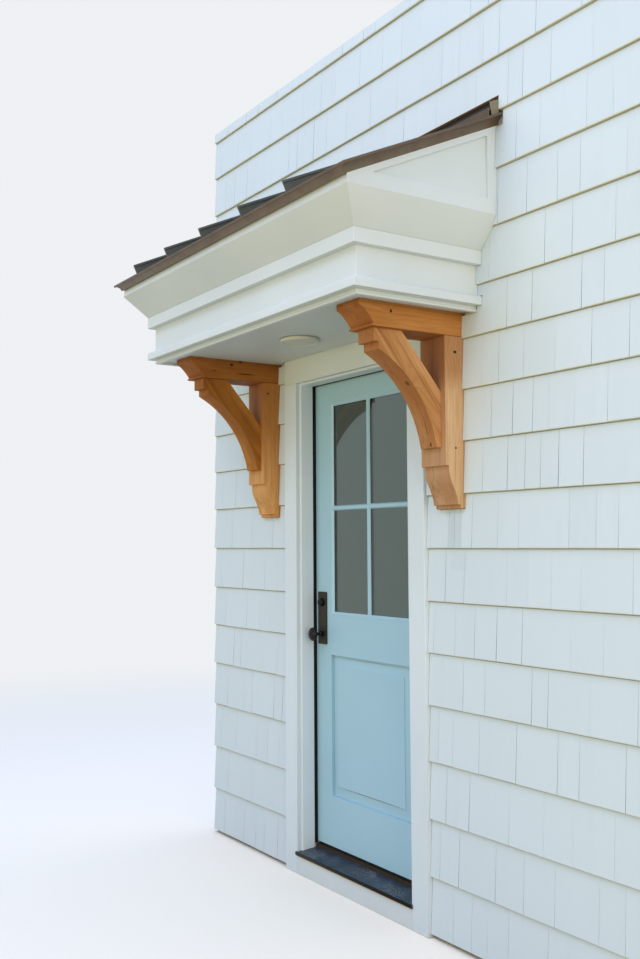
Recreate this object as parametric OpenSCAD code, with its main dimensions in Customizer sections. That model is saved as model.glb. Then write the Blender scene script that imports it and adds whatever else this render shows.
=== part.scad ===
// Entrance porch: a bracketed canopy over a panelled door, with the wall bay that carries both.
// X runs along the wall, -Y is outdoors and Z is up. The origin is under the middle of the door, at ground level.

/* [Wall bay] */
// Distance from the middle of the door to the left end of the wall bay
bay_left = 1220; // [1100:20:2000]
// Distance from the middle of the door to the right end of the wall bay
bay_right = 1560; // [1100:20:2000]
// Least height of the wall above the canopy's flashing
over_flashing = 580; // [100:10:900]
// Thickness of the framed wall, from its outer boarding to its inner face
wall_t = 116; // [100:1:170]
// Height of the concrete foundation strip
found_h = 78; // [70:1:90]
// Height of the lowest shingle butts above the ground
siding_bottom = 14; // [5:1:40]
// Height that each of the lowest courses shows
low_exposure = 211; // [180:1:230]
// Number of the tall courses at the foot of the wall
low_courses = 3; // [1:1:5]
// Height that each of the other courses shows
exposure = 191; // [150:1:210]
// Thickness of the shingles at a butt
butt_t = 22; // [14:1:30]
// Thickness of the shingles just above a butt
tip_t = 9; // [5:1:13]

/* [Door] */
// Width of the door leaf
door_w = 813; // [760:1:920]
// Height of the door leaf
door_h = 2032; // [1980:1:2060]
// Thickness of the door leaf
door_t = 44; // [35:1:50]
// Height of the underside of the leaf above the ground
door_z = 131; // [128:1:150]
// Running gap round the leaf
door_gap = 5; // [3:0.5:8]
// Overlap of the side stops on the leaf
stop_lap = 8.5; // [3:0.5:12]
// Height of the head's stop above the leaf
head_gap = 0; // [0:0.5:3]
// Depth of the stops, from the outer boarding
stop_d = 54; // [40:1:60]
// Thickness of the jamb boards
jamb_t = 19; // [15:1:30]
// Distance that the frame's lip stands before the outer boarding
lip_out = 13; // [8:1:24]
// Width of the glass between its glazing frame
glass_w = 528; // [400:2:560]
// Height of the glass between its glazing frame
glass_h = 912; // [700:1:940]
// Height of the leaf's top rail, above the glazing frame
top_rail = 89; // [70:1:120]
// Width of the upright glazing bar at the glass
bar_w = 24; // [16:1:50]
// Height of the level glazing bar at the glass
bar_h = 22; // [16:1:50]
// Width of the bevelled glazing frame round the glass
glaze_w = 13; // [9:1:30]
// Depth of the glass behind the faces of the leaf
glass_in = 8; // [5:1:14]
// Width of the lower panel
panel_w = 566; // [400:2:580]
// Height of the lower panel
panel_h = 612; // [400:2:660]
// Height of the lower edge of the panel above the underside of the leaf
panel_z = 216; // [150:1:260]
// Width of the bevel round the raised field
panel_bevel = 47; // [20:1:70]
// Distance of the knob from the free edge of the leaf
backset = 60; // [55:1:75]
// Height of the knob above the underside of the leaf
knob_z = 917; // [860:1:1000]
// Distance from the knob up to the lock cylinder
lock_rise = 140; // [120:1:160]
// Diameter of the knob
knob_d = 60; // [45:1:70]

/* [Trim] */
// Thickness of the flat boards round the door
casing_t = 32; // [20:1:40]
// Width of the boards beside the door
casing_w = 98; // [70:1:130]
// Part of the jamb edge that the boards leave in view
casing_reveal = 8; // [7:0.5:12]
// Part of the head edge that the header board leaves in view
head_reveal = 9.5; // [7:0.5:20]
// Width of the inside casing
inside_w = 65; // [50:1:90]
// Thickness of the inside casing
inside_t = 16; // [10:1:22]

/* [Canopy] */
// Height of the flat board between the door frame and the soffit
header_h = 111.5; // [90:0.5:150]
// Half of the canopy's width over its flat bands
canopy_half = 826; // [780:1:900]
// Projection of the flat bands from the wall's outer boarding
canopy_d = 570; // [450:1:640]
// Depth that the frieze lies behind the bands
frieze_in = 27; // [15:1:35]
// Thickness of the canopy's boards
board_t = 19; // [16:1:25]
// Drop of the bed moulding below the soffit
bed_drop = 12; // [6:1:20]
// Height of the bed moulding
bed_h = 20; // [14:1:30]
// Height of the lower band
low_band_h = 35; // [20:1:60]
// Height of the frieze that shows between the bands
frieze_h = 110; // [70:1:150]
// Height of the upper band
fascia_h = 51; // [30:1:80]
// Height of the sloped crown
crown_h = 107; // [70:1:140]
// Outward run of the sloped crown
crown_run = 86; // [50:1:110]
// Thickness of the soffit boards
soffit_t = 13; // [8:1:20]
// Diameter of the soffit light
light_d = 162; // [120:1:200]
// Drop of the soffit light
light_drop = 16; // [8:1:40]

/* [Roof] */
// Slope of the roof
roof_pitch = 24.5; // [20:0.5:27]
// Rise of the roof's front edge above the crown
edge_rise = 51; // [44:1:75]
// Overhang of the metal past the crown
roof_over = 31; // [20:1:45]
// Thickness of the roof boards
deck_t = 18; // [12:1:24]
// Thickness of the metal as modelled
metal_t = 2; // [1:0.5:3]
// Height of the standing seams
seam_h = 38; // [25:1:45]
// Spacing of the standing seams
seam_pitch = 318; // [250:1:400]
// Distance of the middle seam left of the middle of the door
seam_shift = 39; // [0:1:60]
// Depth of the metal trim along the eave and the rakes
trim_drop = 34; // [24:1:36]
// Rise of the wall flashing above the roof
flash_rise = 55; // [50:1:80]
// Reach of the wall flashing down the roof
flash_reach = 55; // [45:1:90]
// Height of the wall flashing's front leg
flash_leg = 32; // [20:1:45]
// Distance of the wall flashing's ends from the roof's edges
flash_in = 12; // [6:1:25]

/* [Brackets] */
// Distance of a bracket's outer side from the end of the canopy's flat bands
bracket_in = 108; // [60:1:130]
// Width of the beam and the post
timber_w = 140; // [110:1:150]
// Height of the beam
beam_h = 89; // [70:1:110]
// Projection of the beam from the wall's outer boarding
beam_l = 474; // [430:1:500]
// Projection of the post from the wall's outer boarding
post_d = 100; // [80:1:120]
// Length of the post below the beam
post_l = 623; // [560:1:700]
// Height of the shaped tail at the foot of the post
tail_h = 153; // [120:1:180]
// Width of the brace
brace_w = 92; // [70:1:100]
// Projection of the brace's upper block
brace_out = 397; // [370:1:405]
// Depth of each step under the upper block
step_in = 23; // [12:1:30]
// Height of the upper block
block_h = 47; // [30:1:60]
// Height of the lower block
low_block_h = 27; // [15:1:40]
// Distance from the wall to the upper end of the brace's straight edge
top_in = 275; // [230:1:300]
// Drop of the brace's straight edge down to the post
heel_drop = 202; // [150:1:240]
// Projection of the brace's foot
foot_out = 121; // [110:1:160]
// Radius of the brace's hollow curve
curve_r = 456; // [400:1:600]
// Height of the brace's foot above the foot of the post
brace_foot = 218; // [190:1:240]

/* [Hidden] */
$fn = 48;

paint = "#d4dee3";
siding_paint = "#d8e2e8";
door_paint = "#98bbca";
cedar = "#a56c34";
bronze = "#6e5848";
dark_bronze = "#3c3a34";
slate = "#384452";
concrete = "#cfc3a0";
glass_tint = "#66706e";

// Small allowances
eps = 0.01;
seat_gap = 0.3;
snug = 0.05;
joint_gap = 1;
far = 6000;

// Places along the doorway
leaf_x = door_w / 2;
rebate_x = leaf_x + door_gap;
jamb_x = rebate_x + jamb_t;
stop_x = leaf_x - stop_lap;
casing_x = stop_x + casing_reveal;
casing_out = casing_x + casing_w;

// Heights of the doorway
leaf_top = door_z + door_h;
rebate_z = leaf_top + door_gap;
frame_top = rebate_z + jamb_t;
stop_z = leaf_top + head_gap;
header_z = stop_z + head_reveal;

// Depths, from the wall's outer boarding towards the room
leaf_in = wall_t;
leaf_out = wall_t - door_t;
glass_front = leaf_out + glass_in;
glass_back = leaf_in - glass_in;
glass_z = door_h - top_rail - glaze_w - glass_h;
glaze_lip = 2;
bar_front = 11;

// Heights of the canopy
soffit_z = header_z + header_h;
band_z = soffit_z - bed_drop + bed_h;
frieze_z = band_z + low_band_h;
fascia_z = frieze_z + frieze_h;
crown_z = fascia_z + fascia_h;
crown_top = crown_z + crown_h;
wash = 7;
roof_edge_z = crown_top + edge_rise;

// Edges of the canopy
cheek_x = canopy_half + crown_run - 4;
eave_y = canopy_d + crown_run - 4;
roof_x = canopy_half + crown_run + roof_over;
roof_y = canopy_d + crown_run + roof_over + 3;
back_in = frieze_in + board_t;
frame_x = canopy_half - back_in;
frame_y = canopy_d - back_in;
slope_len = roof_y / cos(roof_pitch);
under_deck = (metal_t + deck_t + snug) / cos(roof_pitch);

function roof_z(y) = roof_edge_z + (roof_y - y) * tan(roof_pitch);
function deck_z(y) = roof_z(y) - under_deck;
flash_top = roof_z(0) + flash_rise;
flash_x = roof_x - flash_in;
bay_h = 10 * ceil((flash_top + over_flashing) / 10);

// Course lines of the siding
low_top = siding_bottom + low_courses * low_exposure;
course_count = ceil((bay_h - low_top) / exposure);
course_z = concat(
  [for (i = [0 : low_courses - 1]) siding_bottom + i * low_exposure],
  [for (i = [0 : course_count - 1]) low_top + i * exposure]
);

// Door furniture
knob_x = -(leaf_x - backset);
knob_height = door_z + knob_z;
lock_height = knob_height + lock_rise;
plate_w = 66;
plate_over = 46;
plate_t = 6;
plate_corner = 6;
neck_r = 11;
neck_l = 12;
waist_r = 7;
cylinder_r = 18;
cylinder_out = 15;
cylinder_face = 3;
knob_reach = 50;
knob_half = 14;

// Hinges
hinge_r = 6;
hinge_h = 90;
hinge_leaf_t = 2.5;
hinge_leaf_d = 32;
hinge_y = wall_t + hinge_r + 1;
hinge_x = leaf_x + door_gap / 2;
hinge_low = 250;
hinge_high = 180;
hinge_zs = [door_z + hinge_low, door_z + door_h / 2, leaf_top - hinge_high];
knuckles = 5;
knuckle_h = hinge_h / knuckles;

// Brackets
bracket_x = canopy_half - bracket_in - timber_w / 2;
beam_z = soffit_z - beam_h;
post_z = beam_z - post_l;
heel_z = beam_z - heel_drop;
tail_z = post_z + tail_h;
foot_z = post_z + brace_foot;
nose_in = 62;
nose_lip = 22;
fillet_h = 9;
fillet_out = 8;
tail_step = 15;
tail_foot = 45;
plate_foot = 33;
plate_foot_h = 14;

// Everything below is drawn with y = 0 on the wall's outer boarding, and moved so that y = 0 is mid-wall
module in_place() {
  translate([0, -wall_t / 2, 0]) children();
}

module block(x, y, z) {
  translate([x[0], y[0], z[0]]) cube([x[1] - x[0], y[1] - y[0], z[1] - z[0]]);
}

// An outline of [y, z] points drawn out along X between two places
module along_x(x0, x1, outline) {
  translate([x0, 0, 0]) rotate([90, 0, 90]) linear_extrude(x1 - x0) polygon(outline);
}

// The outline of a doorway's surround: two legs and a head, as [x, z] shapes drawn out in Y
module surround(y0, y1, in_x, out_x, foot, in_z, out_z) {
  translate([0, y1, 0]) rotate([90, 0, 0]) linear_extrude(y1 - y0) difference() {
    translate([-out_x, foot]) square([2 * out_x, out_z - foot]);
    translate([-in_x, foot - 1]) square([2 * in_x, in_z - foot + 1]);
  }
}

// Trim round the canopy's two sides and front, mitred at the front corners.
// The outline has [distance out from the flat bands, height] points.
module mitred_trim(outline) {
  wide = crown_run + 10;
  deep = back_in + 30;
  intersection() {
    along_x(-canopy_half - wide, canopy_half + wide, [for (p = outline) [-canopy_d - p[0], p[1]]]);
    linear_extrude(bay_h) polygon([
      [-canopy_half - wide, -canopy_d - wide], [canopy_half + wide, -canopy_d - wide],
      [canopy_half - deep, -canopy_d + deep], [-canopy_half + deep, -canopy_d + deep]
    ]);
  }
  for (side = [0, 1]) mirror([side, 0, 0]) intersection() {
    rotate([90, 0, 0]) linear_extrude(canopy_d + wide) polygon([for (p = outline) [canopy_half + p[0], p[1]]]);
    linear_extrude(bay_h) polygon([
      [canopy_half + wide, 0], [canopy_half + wide, -canopy_d - wide],
      [canopy_half - deep, -canopy_d + deep], [canopy_half - deep, 0]
    ]);
  }
}

// Moves its children onto the roof: x along the eave, y up the slope from the front edge, z square to the slope
module on_roof() {
  translate([0, -roof_y, roof_edge_z]) rotate([roof_pitch, 0, 0]) children();
}

// Cuts its children off plumb at a distance in front of the wall
module before_wall(reach = 0) {
  intersection() {
    children();
    translate([-far / 2, -far / 2 - reach, 0]) cube([far, far / 2, far]);
  }
}

module foundation() {
  color(concrete) in_place() block([-bay_left, bay_right], [0, wall_t], [0, found_h]);
}

module wall_left() {
  color(paint) in_place() block([-bay_left, -jamb_x], [0, wall_t], [found_h, bay_h]);
}

module wall_right() {
  color(paint) in_place() block([jamb_x, bay_right], [0, wall_t], [found_h, bay_h]);
}

module wall_over_door() {
  color(paint) in_place() block([-jamb_x, jamb_x], [0, wall_t], [frame_top, bay_h]);
}

// Section of the shingle courses: each course is thick at its butt and thin under the next one
siding_section = concat(
  [[0, bay_h], [0, siding_bottom]],
  [for (i = [0 : len(course_z) - 1])
    let (top = i + 1 < len(course_z) ? course_z[i + 1] : bay_h)
    each [[-butt_t, course_z[i]], [-tip_t - (butt_t - tip_t) * (1 - (top - course_z[i]) / low_exposure), top]]]
);

rake_low = roof_z(butt_t) - (trim_drop + metal_t) / cos(roof_pitch);

// The place that the canopy and the brackets take out of the siding
module siding_cut() {
  frieze_half = canopy_half - frieze_in;
  bed_low = soffit_z - bed_drop;
  rotate([90, 0, 0]) translate([0, 0, -1]) linear_extrude(butt_t + 2) offset(delta = joint_gap) union() {
    translate([-frieze_half, bed_low]) square([2 * frieze_half, crown_z - bed_low]);
    translate([-canopy_half, band_z]) square([2 * canopy_half, low_band_h]);
    translate([-canopy_half, fascia_z]) square([2 * canopy_half, fascia_h]);
    polygon([
      [-canopy_half, crown_z - 1], [canopy_half, crown_z - 1], [canopy_half + crown_run, crown_top],
      [-canopy_half - crown_run, crown_top]
    ]);
    translate([-canopy_half - crown_run, crown_top - 1]) square([2 * (canopy_half + crown_run), flash_top - crown_top + 1]);
    translate([-roof_x, rake_low]) square([2 * roof_x, roof_z(0) - rake_low]);
    translate([-flash_x, rake_low]) square([2 * flash_x, flash_top - rake_low]);
    for (side = [-1, 1]) translate([side * bracket_x - timber_w / 2, post_z]) square([timber_w, soffit_z - post_z]);
  }
}

module siding(x0, x1) {
  difference() {
    along_x(x0, x1, siding_section);
    siding_cut();
  }
}

module siding_left() {
  color(siding_paint) in_place() siding(-bay_left, -casing_out - joint_gap);
}

module siding_right() {
  color(siding_paint) in_place() siding(casing_out + joint_gap, bay_right);
}

module siding_over_door() {
  color(siding_paint) in_place() intersection() {
    siding(-casing_out - joint_gap, casing_out + joint_gap);
    translate([-far / 2, -far / 2, flash_top]) cube([far, far, far]);
  }
}

module casing_right() {
  color(paint) in_place() block([casing_x, casing_out], [-casing_t, 0], [0, header_z]);
}

module casing_left() {
  color(paint) in_place() block([-casing_out, -casing_x], [-casing_t, 0], [0, header_z]);
}

module header_board() {
  color(paint) in_place() block([-casing_out, casing_out], [-casing_t, 0], [header_z, soffit_z]);
}

module threshold_skirt() {
  color(paint) in_place() block([-casing_x, casing_x], [-casing_t, 0], [0, found_h]);
}

module inside_casing() {
  in_x = rebate_x + 6;
  color(paint) in_place() surround(wall_t, wall_t + inside_t, in_x, in_x + inside_w, found_h,
    rebate_z + 6, rebate_z + 6 + inside_w);
}

module hinge_seats(x0, x1) {
  for (z = hinge_zs) block([x0, x1], [wall_t - hinge_leaf_d, wall_t + 1], [z - hinge_h / 2, z + hinge_h / 2]);
}

// A hole through an upright board between two depths. The x and z outlines are lists of [depth, place] points.
module flared_hole(x_outline, z_outline, reach) {
  intersection() {
    translate([0, 0, -reach]) linear_extrude(2 * reach) polygon([for (p = x_outline) [p[1], p[0]]]);
    along_x(-reach, reach, z_outline);
  }
}

// The frame: jambs and head, their stops, and a lip with a bevelled arris that stands before the boarding
lip_bevel = 6;
module door_frame() {
  bevel_in = -lip_out + lip_bevel;
  flare = stop_x + lip_bevel;
  color(paint) in_place() difference() {
    union() {
      surround(0, wall_t, rebate_x, jamb_x, found_h, rebate_z, frame_top);
      surround(0, stop_d, stop_x, rebate_x + eps, found_h, stop_z, rebate_z + eps);
      difference() {
        block([-casing_x, casing_x], [-lip_out, eps], [found_h, header_z]);
        flared_hole(
          [[-lip_out - 1, -flare - 1], [-lip_out - 1, flare + 1], [bevel_in, stop_x], [1, stop_x], [1, -stop_x],
           [bevel_in, -stop_x]],
          [[-lip_out - 1, 0], [-lip_out - 1, stop_z + lip_bevel + 1], [bevel_in, stop_z], [1, stop_z], [1, 0]],
          far);
      }
    }
    hinge_seats(rebate_x - eps, rebate_x + hinge_leaf_t);
  }
}

module weatherstrip() {
  color("black") in_place() surround(stop_d, leaf_out - joint_gap, stop_x + 0.8, rebate_x, threshold_top + 1,
    stop_z + 0.8, rebate_z);
}

// Threshold: a sloped sill on a thin strip, a nose that laps the casings, and a grooved riser under the leaf
sill_nose = 8;
nose_lap = 6;
nose_low = found_h + 4;
nose_top = found_h + 19;
strip_out = 4;
threshold_top = door_z - 9;
sill_top = threshold_top - 16.5;
riser_out = stop_d + 8;
cap_h = 1.5;
groove_in = 5;
groove_h = 3.5;
groove_top = threshold_top - cap_h;
sill_in = 10;
function sill_z(y) = nose_top + (sill_top - nose_top) * (y + casing_t) / (riser_out + casing_t);
sill_front = [
  [-casing_t - strip_out, found_h], [-casing_t - strip_out, nose_low], [-casing_t - 1, nose_low], [-casing_t - 1, nose_top],
  [-casing_t, nose_top], [-lip_out, sill_z(-lip_out)], [-lip_out, found_h]
];
sill_section = [
  [-lip_out - eps, found_h], [-lip_out - eps, sill_z(-lip_out)], [riser_out, sill_top], [riser_out, found_h]
];
nose_section = [
  [-casing_t, nose_low], [-casing_t - sill_nose + 1, nose_low], [-casing_t - sill_nose, nose_low + 1],
  [-casing_t - sill_nose, nose_top - 2], [-casing_t - sill_nose + 2, nose_top], [-casing_t, nose_top]
];
riser_section = [
  [riser_out - eps, found_h], [riser_out - eps, groove_top - groove_h], [riser_out + groove_in, groove_top - groove_h],
  [riser_out + groove_in, groove_top], [riser_out, groove_top], [riser_out, threshold_top],
  [wall_t - 4, threshold_top], [wall_t - 4, threshold_top - 12],
  [wall_t + sill_in, threshold_top - 16], [wall_t + sill_in, found_h + 2], [wall_t, found_h + 2], [wall_t, found_h]
];

module threshold() {
  color(slate) in_place() {
    along_x(-casing_x, casing_x, sill_front);
    along_x(-stop_x, stop_x, sill_section);
    along_x(-casing_x - nose_lap, casing_x + nose_lap, nose_section);
    along_x(-stop_x, stop_x, riser_section);
  }
}

module door_leaf() {
  color(door_paint) in_place() difference() {
    block([-leaf_x, leaf_x], [leaf_out, leaf_in], [door_z, leaf_top]);
    block([-glass_w / 2 - glaze_w, glass_w / 2 + glaze_w], [0, wall_t + 10],
      [door_z + glass_z - glaze_w, door_z + glass_z + glass_h + glaze_w]);
    block([-panel_w / 2, panel_w / 2], [0, wall_t + 10], [door_z + panel_z, door_z + panel_z + panel_h]);
    hinge_seats(leaf_x - hinge_leaf_t, leaf_x + eps);
    translate([knob_x, 0, knob_height]) rotate([-90, 0, 0]) cylinder(r = neck_r + seat_gap, h = wall_t + 10);
    translate([knob_x, 0, lock_height]) rotate([-90, 0, 0]) cylinder(r = cylinder_r, h = wall_t + 10);
  }
}

// Raised panel: a thin rim with a bevelled field on each face
rim_t = 14;
field_t = 36;
module door_panel() {
  mid = leaf_out + door_t / 2;
  z0 = door_z + panel_z;
  z1 = z0 + panel_h;
  x1 = panel_w / 2;
  color(door_paint) in_place() {
    block([-x1, x1], [mid - rim_t / 2, mid + rim_t / 2], [z0, z1]);
    intersection() {
      translate([0, 0, z0]) linear_extrude(panel_h) polygon([
        [-x1, mid - rim_t / 2 + 1], [-x1 + panel_bevel, mid - field_t / 2], [x1 - panel_bevel, mid - field_t / 2],
        [x1, mid - rim_t / 2 + 1], [x1, mid + rim_t / 2 - 1], [x1 - panel_bevel, mid + field_t / 2],
        [-x1 + panel_bevel, mid + field_t / 2], [-x1, mid + rim_t / 2 - 1]
      ]);
      along_x(-x1, x1, [
        [mid - rim_t / 2 + 1, z0], [mid - field_t / 2, z0 + panel_bevel], [mid - field_t / 2, z1 - panel_bevel],
        [mid - rim_t / 2 + 1, z1], [mid + rim_t / 2 - 1, z1], [mid + field_t / 2, z1 - panel_bevel],
        [mid + field_t / 2, z0 + panel_bevel], [mid + rim_t / 2 - 1, z0]
      ]);
    }
  }
}

module door_glass() {
  color(glass_tint) in_place() block([-glass_w / 2 - glaze_w, glass_w / 2 + glaze_w], [glass_front, glass_back],
    [door_z + glass_z - glaze_w, door_z + glass_z + glass_h + glaze_w]);
}

// One face of the glazing: a frame and crossed bars, bevelled from the leaf's face down to a small lip at the glass
module glazing_face(y_glass, y_leaf) {
  way = sign(y_glass - y_leaf);
  y_lip = y_glass - way * glaze_lip;
  x1 = glass_w / 2;
  z0 = door_z + glass_z;
  z1 = z0 + glass_h;
  z_mid = (z0 + z1) / 2;
  // Outline of a pane's opening: from one edge to the other at the glass, wider by the two bevels at the leaf's face
  function pane(low, high, low_bevel, high_bevel) = [
    [y_glass + way, low], [y_lip, low], [y_leaf, low - low_bevel], [y_leaf - way, low - low_bevel],
    [y_leaf - way, high + high_bevel], [y_leaf, high + high_bevel], [y_lip, high], [y_glass + way, high]
  ];
  difference() {
    block([-x1 - glaze_w, x1 + glaze_w], [min(y_glass, y_leaf), max(y_glass, y_leaf)], [z0 - glaze_w, z1 + glaze_w]);
    for (side = [0, 1]) mirror([side, 0, 0]) {
      level_bevel = (bar_h - bar_front) / 2;
      across = pane(bar_w / 2, x1, (bar_w - bar_front) / 2, glaze_w - 1);
      flared_hole(across, pane(z0, z_mid - bar_h / 2, glaze_w - 1, level_bevel), far);
      flared_hole(across, pane(z_mid + bar_h / 2, z1, level_bevel, glaze_w - 1), far);
    }
  }
}

module glazing_bars() {
  color(door_paint) in_place() {
    glazing_face(glass_front, leaf_out);
    glazing_face(glass_back, leaf_in);
  }
}

module door_sweep() {
  color("black") in_place() block([-leaf_x + 2, leaf_x - 2], [leaf_out + 6, leaf_in - 6], [door_z - 4, door_z]);
}

// Plates on both faces, bored for the knob's neck and the lock cylinder
module handle_plate(y0) {
  low = knob_height - plate_over;
  high = lock_height + plate_over;
  difference() {
    translate([knob_x, y0 + plate_t, low]) rotate([90, 0, 0]) linear_extrude(plate_t) {
      translate([-plate_w / 2 + plate_corner, 0]) square([plate_w - 2 * plate_corner, high - low]);
      translate([-plate_w / 2, plate_corner]) square([plate_w, high - low - 2 * plate_corner]);
      for (side = [-1, 1], z = [plate_corner, high - low - plate_corner])
        translate([side * (plate_w / 2 - plate_corner), z]) circle(r = plate_corner);
    }
    translate([knob_x, y0 - 1, knob_height]) rotate([-90, 0, 0]) cylinder(r = neck_r + seat_gap, h = plate_t + 2);
    translate([knob_x, y0 - 1, lock_height]) rotate([-90, 0, 0]) cylinder(r = cylinder_r, h = plate_t + 2);
  }
}

module handle_plates() {
  color(dark_bronze) in_place() {
    handle_plate(leaf_out - plate_t);
    handle_plate(leaf_in);
  }
}

// Lock cylinder through the leaf, with a bevelled face outside and inside
module deadbolt() {
  out = leaf_out - plate_t - cylinder_out;
  long = door_t + 2 * plate_t + 2 * cylinder_out;
  color(dark_bronze) in_place() translate([knob_x, out, lock_height]) rotate([-90, 0, 0]) rotate_extrude() polygon([
    [0, 0], [cylinder_r - cylinder_face, 0], [cylinder_r, cylinder_face], [cylinder_r, long - cylinder_face],
    [cylinder_r - cylinder_face, long], [0, long]
  ]);
}

// Outline of the two knobs and the neck that joins them through the leaf, as [radius, distance along the axis] points
knob_steps = 14;
knob_mid = door_t / 2 + plate_t + knob_reach;
neck_end = door_t / 2 + plate_t + neck_l;
neck_angle = asin(waist_r / (knob_d / 2));
knob_outline = [for (i = [0 : knob_steps]) let (a = neck_angle + (180 - neck_angle) * i / knob_steps)
  [knob_d / 2 * sin(a), knob_mid - knob_half * cos(a)]];

module door_knob() {
  color(dark_bronze) in_place() translate([knob_x, leaf_out + door_t / 2, knob_height]) rotate([-90, 0, 0])
    rotate_extrude() polygon(concat(
      [[neck_r, -neck_end], [neck_r, neck_end], [waist_r, neck_end + 4]],
      knob_outline,
      [for (i = [knob_steps : -1 : 0]) [knob_outline[i][0], -knob_outline[i][1]]],
      [[waist_r, -neck_end - 4]]
    ));
}

// Knuckles with the given remainder of the hinge's five, and the leaf plate that carries them
module hinge_half(odd, x0, x1) {
  for (z = hinge_zs) {
    block([x0, x1], [wall_t - hinge_leaf_d, wall_t], [z - hinge_h / 2, z + hinge_h / 2]);
    for (i = [0 : knuckles - 1]) if (i % 2 == odd) {
      low = z - hinge_h / 2 + i * knuckle_h + seat_gap;
      high = low + knuckle_h - 2 * seat_gap;
      translate([hinge_x, hinge_y, low]) cylinder(r = hinge_r, h = high - low);
      block([x0, x1], [wall_t - 1, hinge_y], [low, high]);
    }
  }
}

module hinges_on_frame() {
  color(dark_bronze) in_place() hinge_half(0, rebate_x, rebate_x + hinge_leaf_t);
}

module hinges_on_door() {
  color(dark_bronze) in_place() hinge_half(1, leaf_x - hinge_leaf_t, leaf_x);
}

// Rafter frames, closed in by the canopy's boards
frame_bottom = soffit_z + soffit_t;
rafter_t = 38;
rafter_d = 89;
rafter_count = 5;
module rafter_frame(x) {
  tail = eave_y - board_t;
  side = 45;
  along_x(x - rafter_t / 2, x + rafter_t / 2, [
    [0, frame_bottom], [-frame_y, frame_bottom], [-frame_y, crown_z], [-frame_y, crown_top], [-tail, crown_top],
    [-tail, deck_z(tail)], [0, deck_z(0)], [0, frame_bottom + side],
    [-side, frame_bottom + side], [-side, deck_z(side) - rafter_d], [-frame_y + side, deck_z(frame_y - side) - rafter_d],
    [-frame_y + side, frame_bottom + side], [0, frame_bottom + side - eps]
  ]);
}

module canopy_frame() {
  step = (2 * frame_x - rafter_t) / (rafter_count - 1);
  color("burlywood") in_place() {
    for (i = [0 : rafter_count - 1]) rafter_frame(-frame_x + rafter_t / 2 + i * step);
    block([-frame_x, frame_x], [-rafter_t, 0], [frame_bottom, frame_bottom + 2 * rafter_d]);
    block([-frame_x, frame_x], [-frame_y, -frame_y + rafter_t], [frame_bottom, frame_bottom + rafter_d]);
  }
}

module soffit() {
  color(paint) in_place() block([-frame_x, frame_x], [-frame_y, 0], [soffit_z, frame_bottom]);
}

// Flat light: a bevelled rim round a diffuser
light_rim = 11;
light_bevel = 4;
light_sunk = 2;
module soffit_light() {
  r = light_d / 2;
  color("whitesmoke") in_place() translate([0, -frame_y / 2, soffit_z]) rotate_extrude($fn = 72) polygon([
    [0, 0], [0, -light_drop + light_sunk], [r - light_rim, -light_drop + light_sunk],
    [r - light_rim + light_sunk, -light_drop], [r - light_bevel, -light_drop], [r, -light_drop + light_bevel], [r, 0]
  ]);
}

module bed_moulding() {
  low = soffit_z - bed_drop;
  bead = bed_h / 2.5;
  color(paint) in_place() mitred_trim([
    [-back_in, low], [-frieze_in - 2, low], [-frieze_in, low + 2], [-frieze_in, low + bead], [-frieze_in - 4, low + bead + 2],
    [-frieze_in - 4, band_z], [-back_in, band_z]
  ]);
}

module lower_band() {
  color(paint) in_place() mitred_trim([[-frieze_in, band_z], [0, band_z], [0, frieze_z - wash], [-wash, frieze_z], [-frieze_in, frieze_z]]);
}

module frieze() {
  color(paint) in_place() mitred_trim([[-back_in, band_z], [-frieze_in, band_z], [-frieze_in, crown_z], [-back_in, crown_z]]);
}

module fascia_band() {
  color(paint) in_place() mitred_trim([[-frieze_in, fascia_z], [0, fascia_z], [0, crown_z], [-frieze_in, crown_z]]);
}

module crown() {
  back = board_t / cos(atan(crown_run / crown_h));
  color(paint) in_place() mitred_trim([[0, crown_z], [crown_run, crown_top], [crown_run - back, crown_top], [-back, crown_z]]);
}

module eave_board() {
  color(paint) in_place() along_x(-cheek_x + board_t, cheek_x - board_t, [
    [-eave_y, crown_top], [-eave_y, deck_z(eave_y)], [-eave_y + board_t, deck_z(eave_y - board_t)],
    [-eave_y + board_t, crown_top]
  ]);
}

// Triangular side over the crown, with a sunk panel
cheek_rail = 53;
cheek_top_rail = 42;
cheek_sunk = 12;
module cheek_right() {
  panel_low = crown_top + cheek_rail;
  low_point = roof_y - (panel_low + cheek_top_rail - roof_z(roof_y) + under_deck) / tan(roof_pitch);
  color(paint) in_place() difference() {
    along_x(cheek_x - board_t, cheek_x, [[0, crown_top], [-eave_y, crown_top], [-eave_y, deck_z(eave_y)], [0, deck_z(0)]]);
    along_x(cheek_x - cheek_sunk, cheek_x + 1, [
      [-cheek_rail, panel_low], [-low_point, panel_low], [-cheek_rail, deck_z(cheek_rail) - cheek_top_rail]
    ]);
  }
}

module cheek_left() {
  mirror([1, 0, 0]) cheek_right();
}

module roof_deck() {
  color("burlywood") in_place() before_wall() on_roof() block([-cheek_x, cheek_x], [deck_in, slope_len + 100], [-metal_t - deck_t, -metal_t]);
}

// Standing seams: a thin rib with its folded top
seam_t = 5;
fold_t = 11;
fold_h = 9;
seam_low = ceil((-roof_x + seam_shift + 80) / seam_pitch);
seam_high = floor((roof_x + seam_shift - 80) / seam_pitch);
seam_xs = [for (k = [seam_low : seam_high]) k * seam_pitch - seam_shift];
flash_out = flash_reach + tip_t;

module seam_shape() {
  for (x = seam_xs) translate([x, 0]) {
    translate([-seam_t / 2, -metal_t / 2]) square([seam_t, seam_h + metal_t / 2]);
    translate([-seam_t / 2, seam_h - fold_h]) square([fold_t, fold_h]);
  }
}

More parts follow.
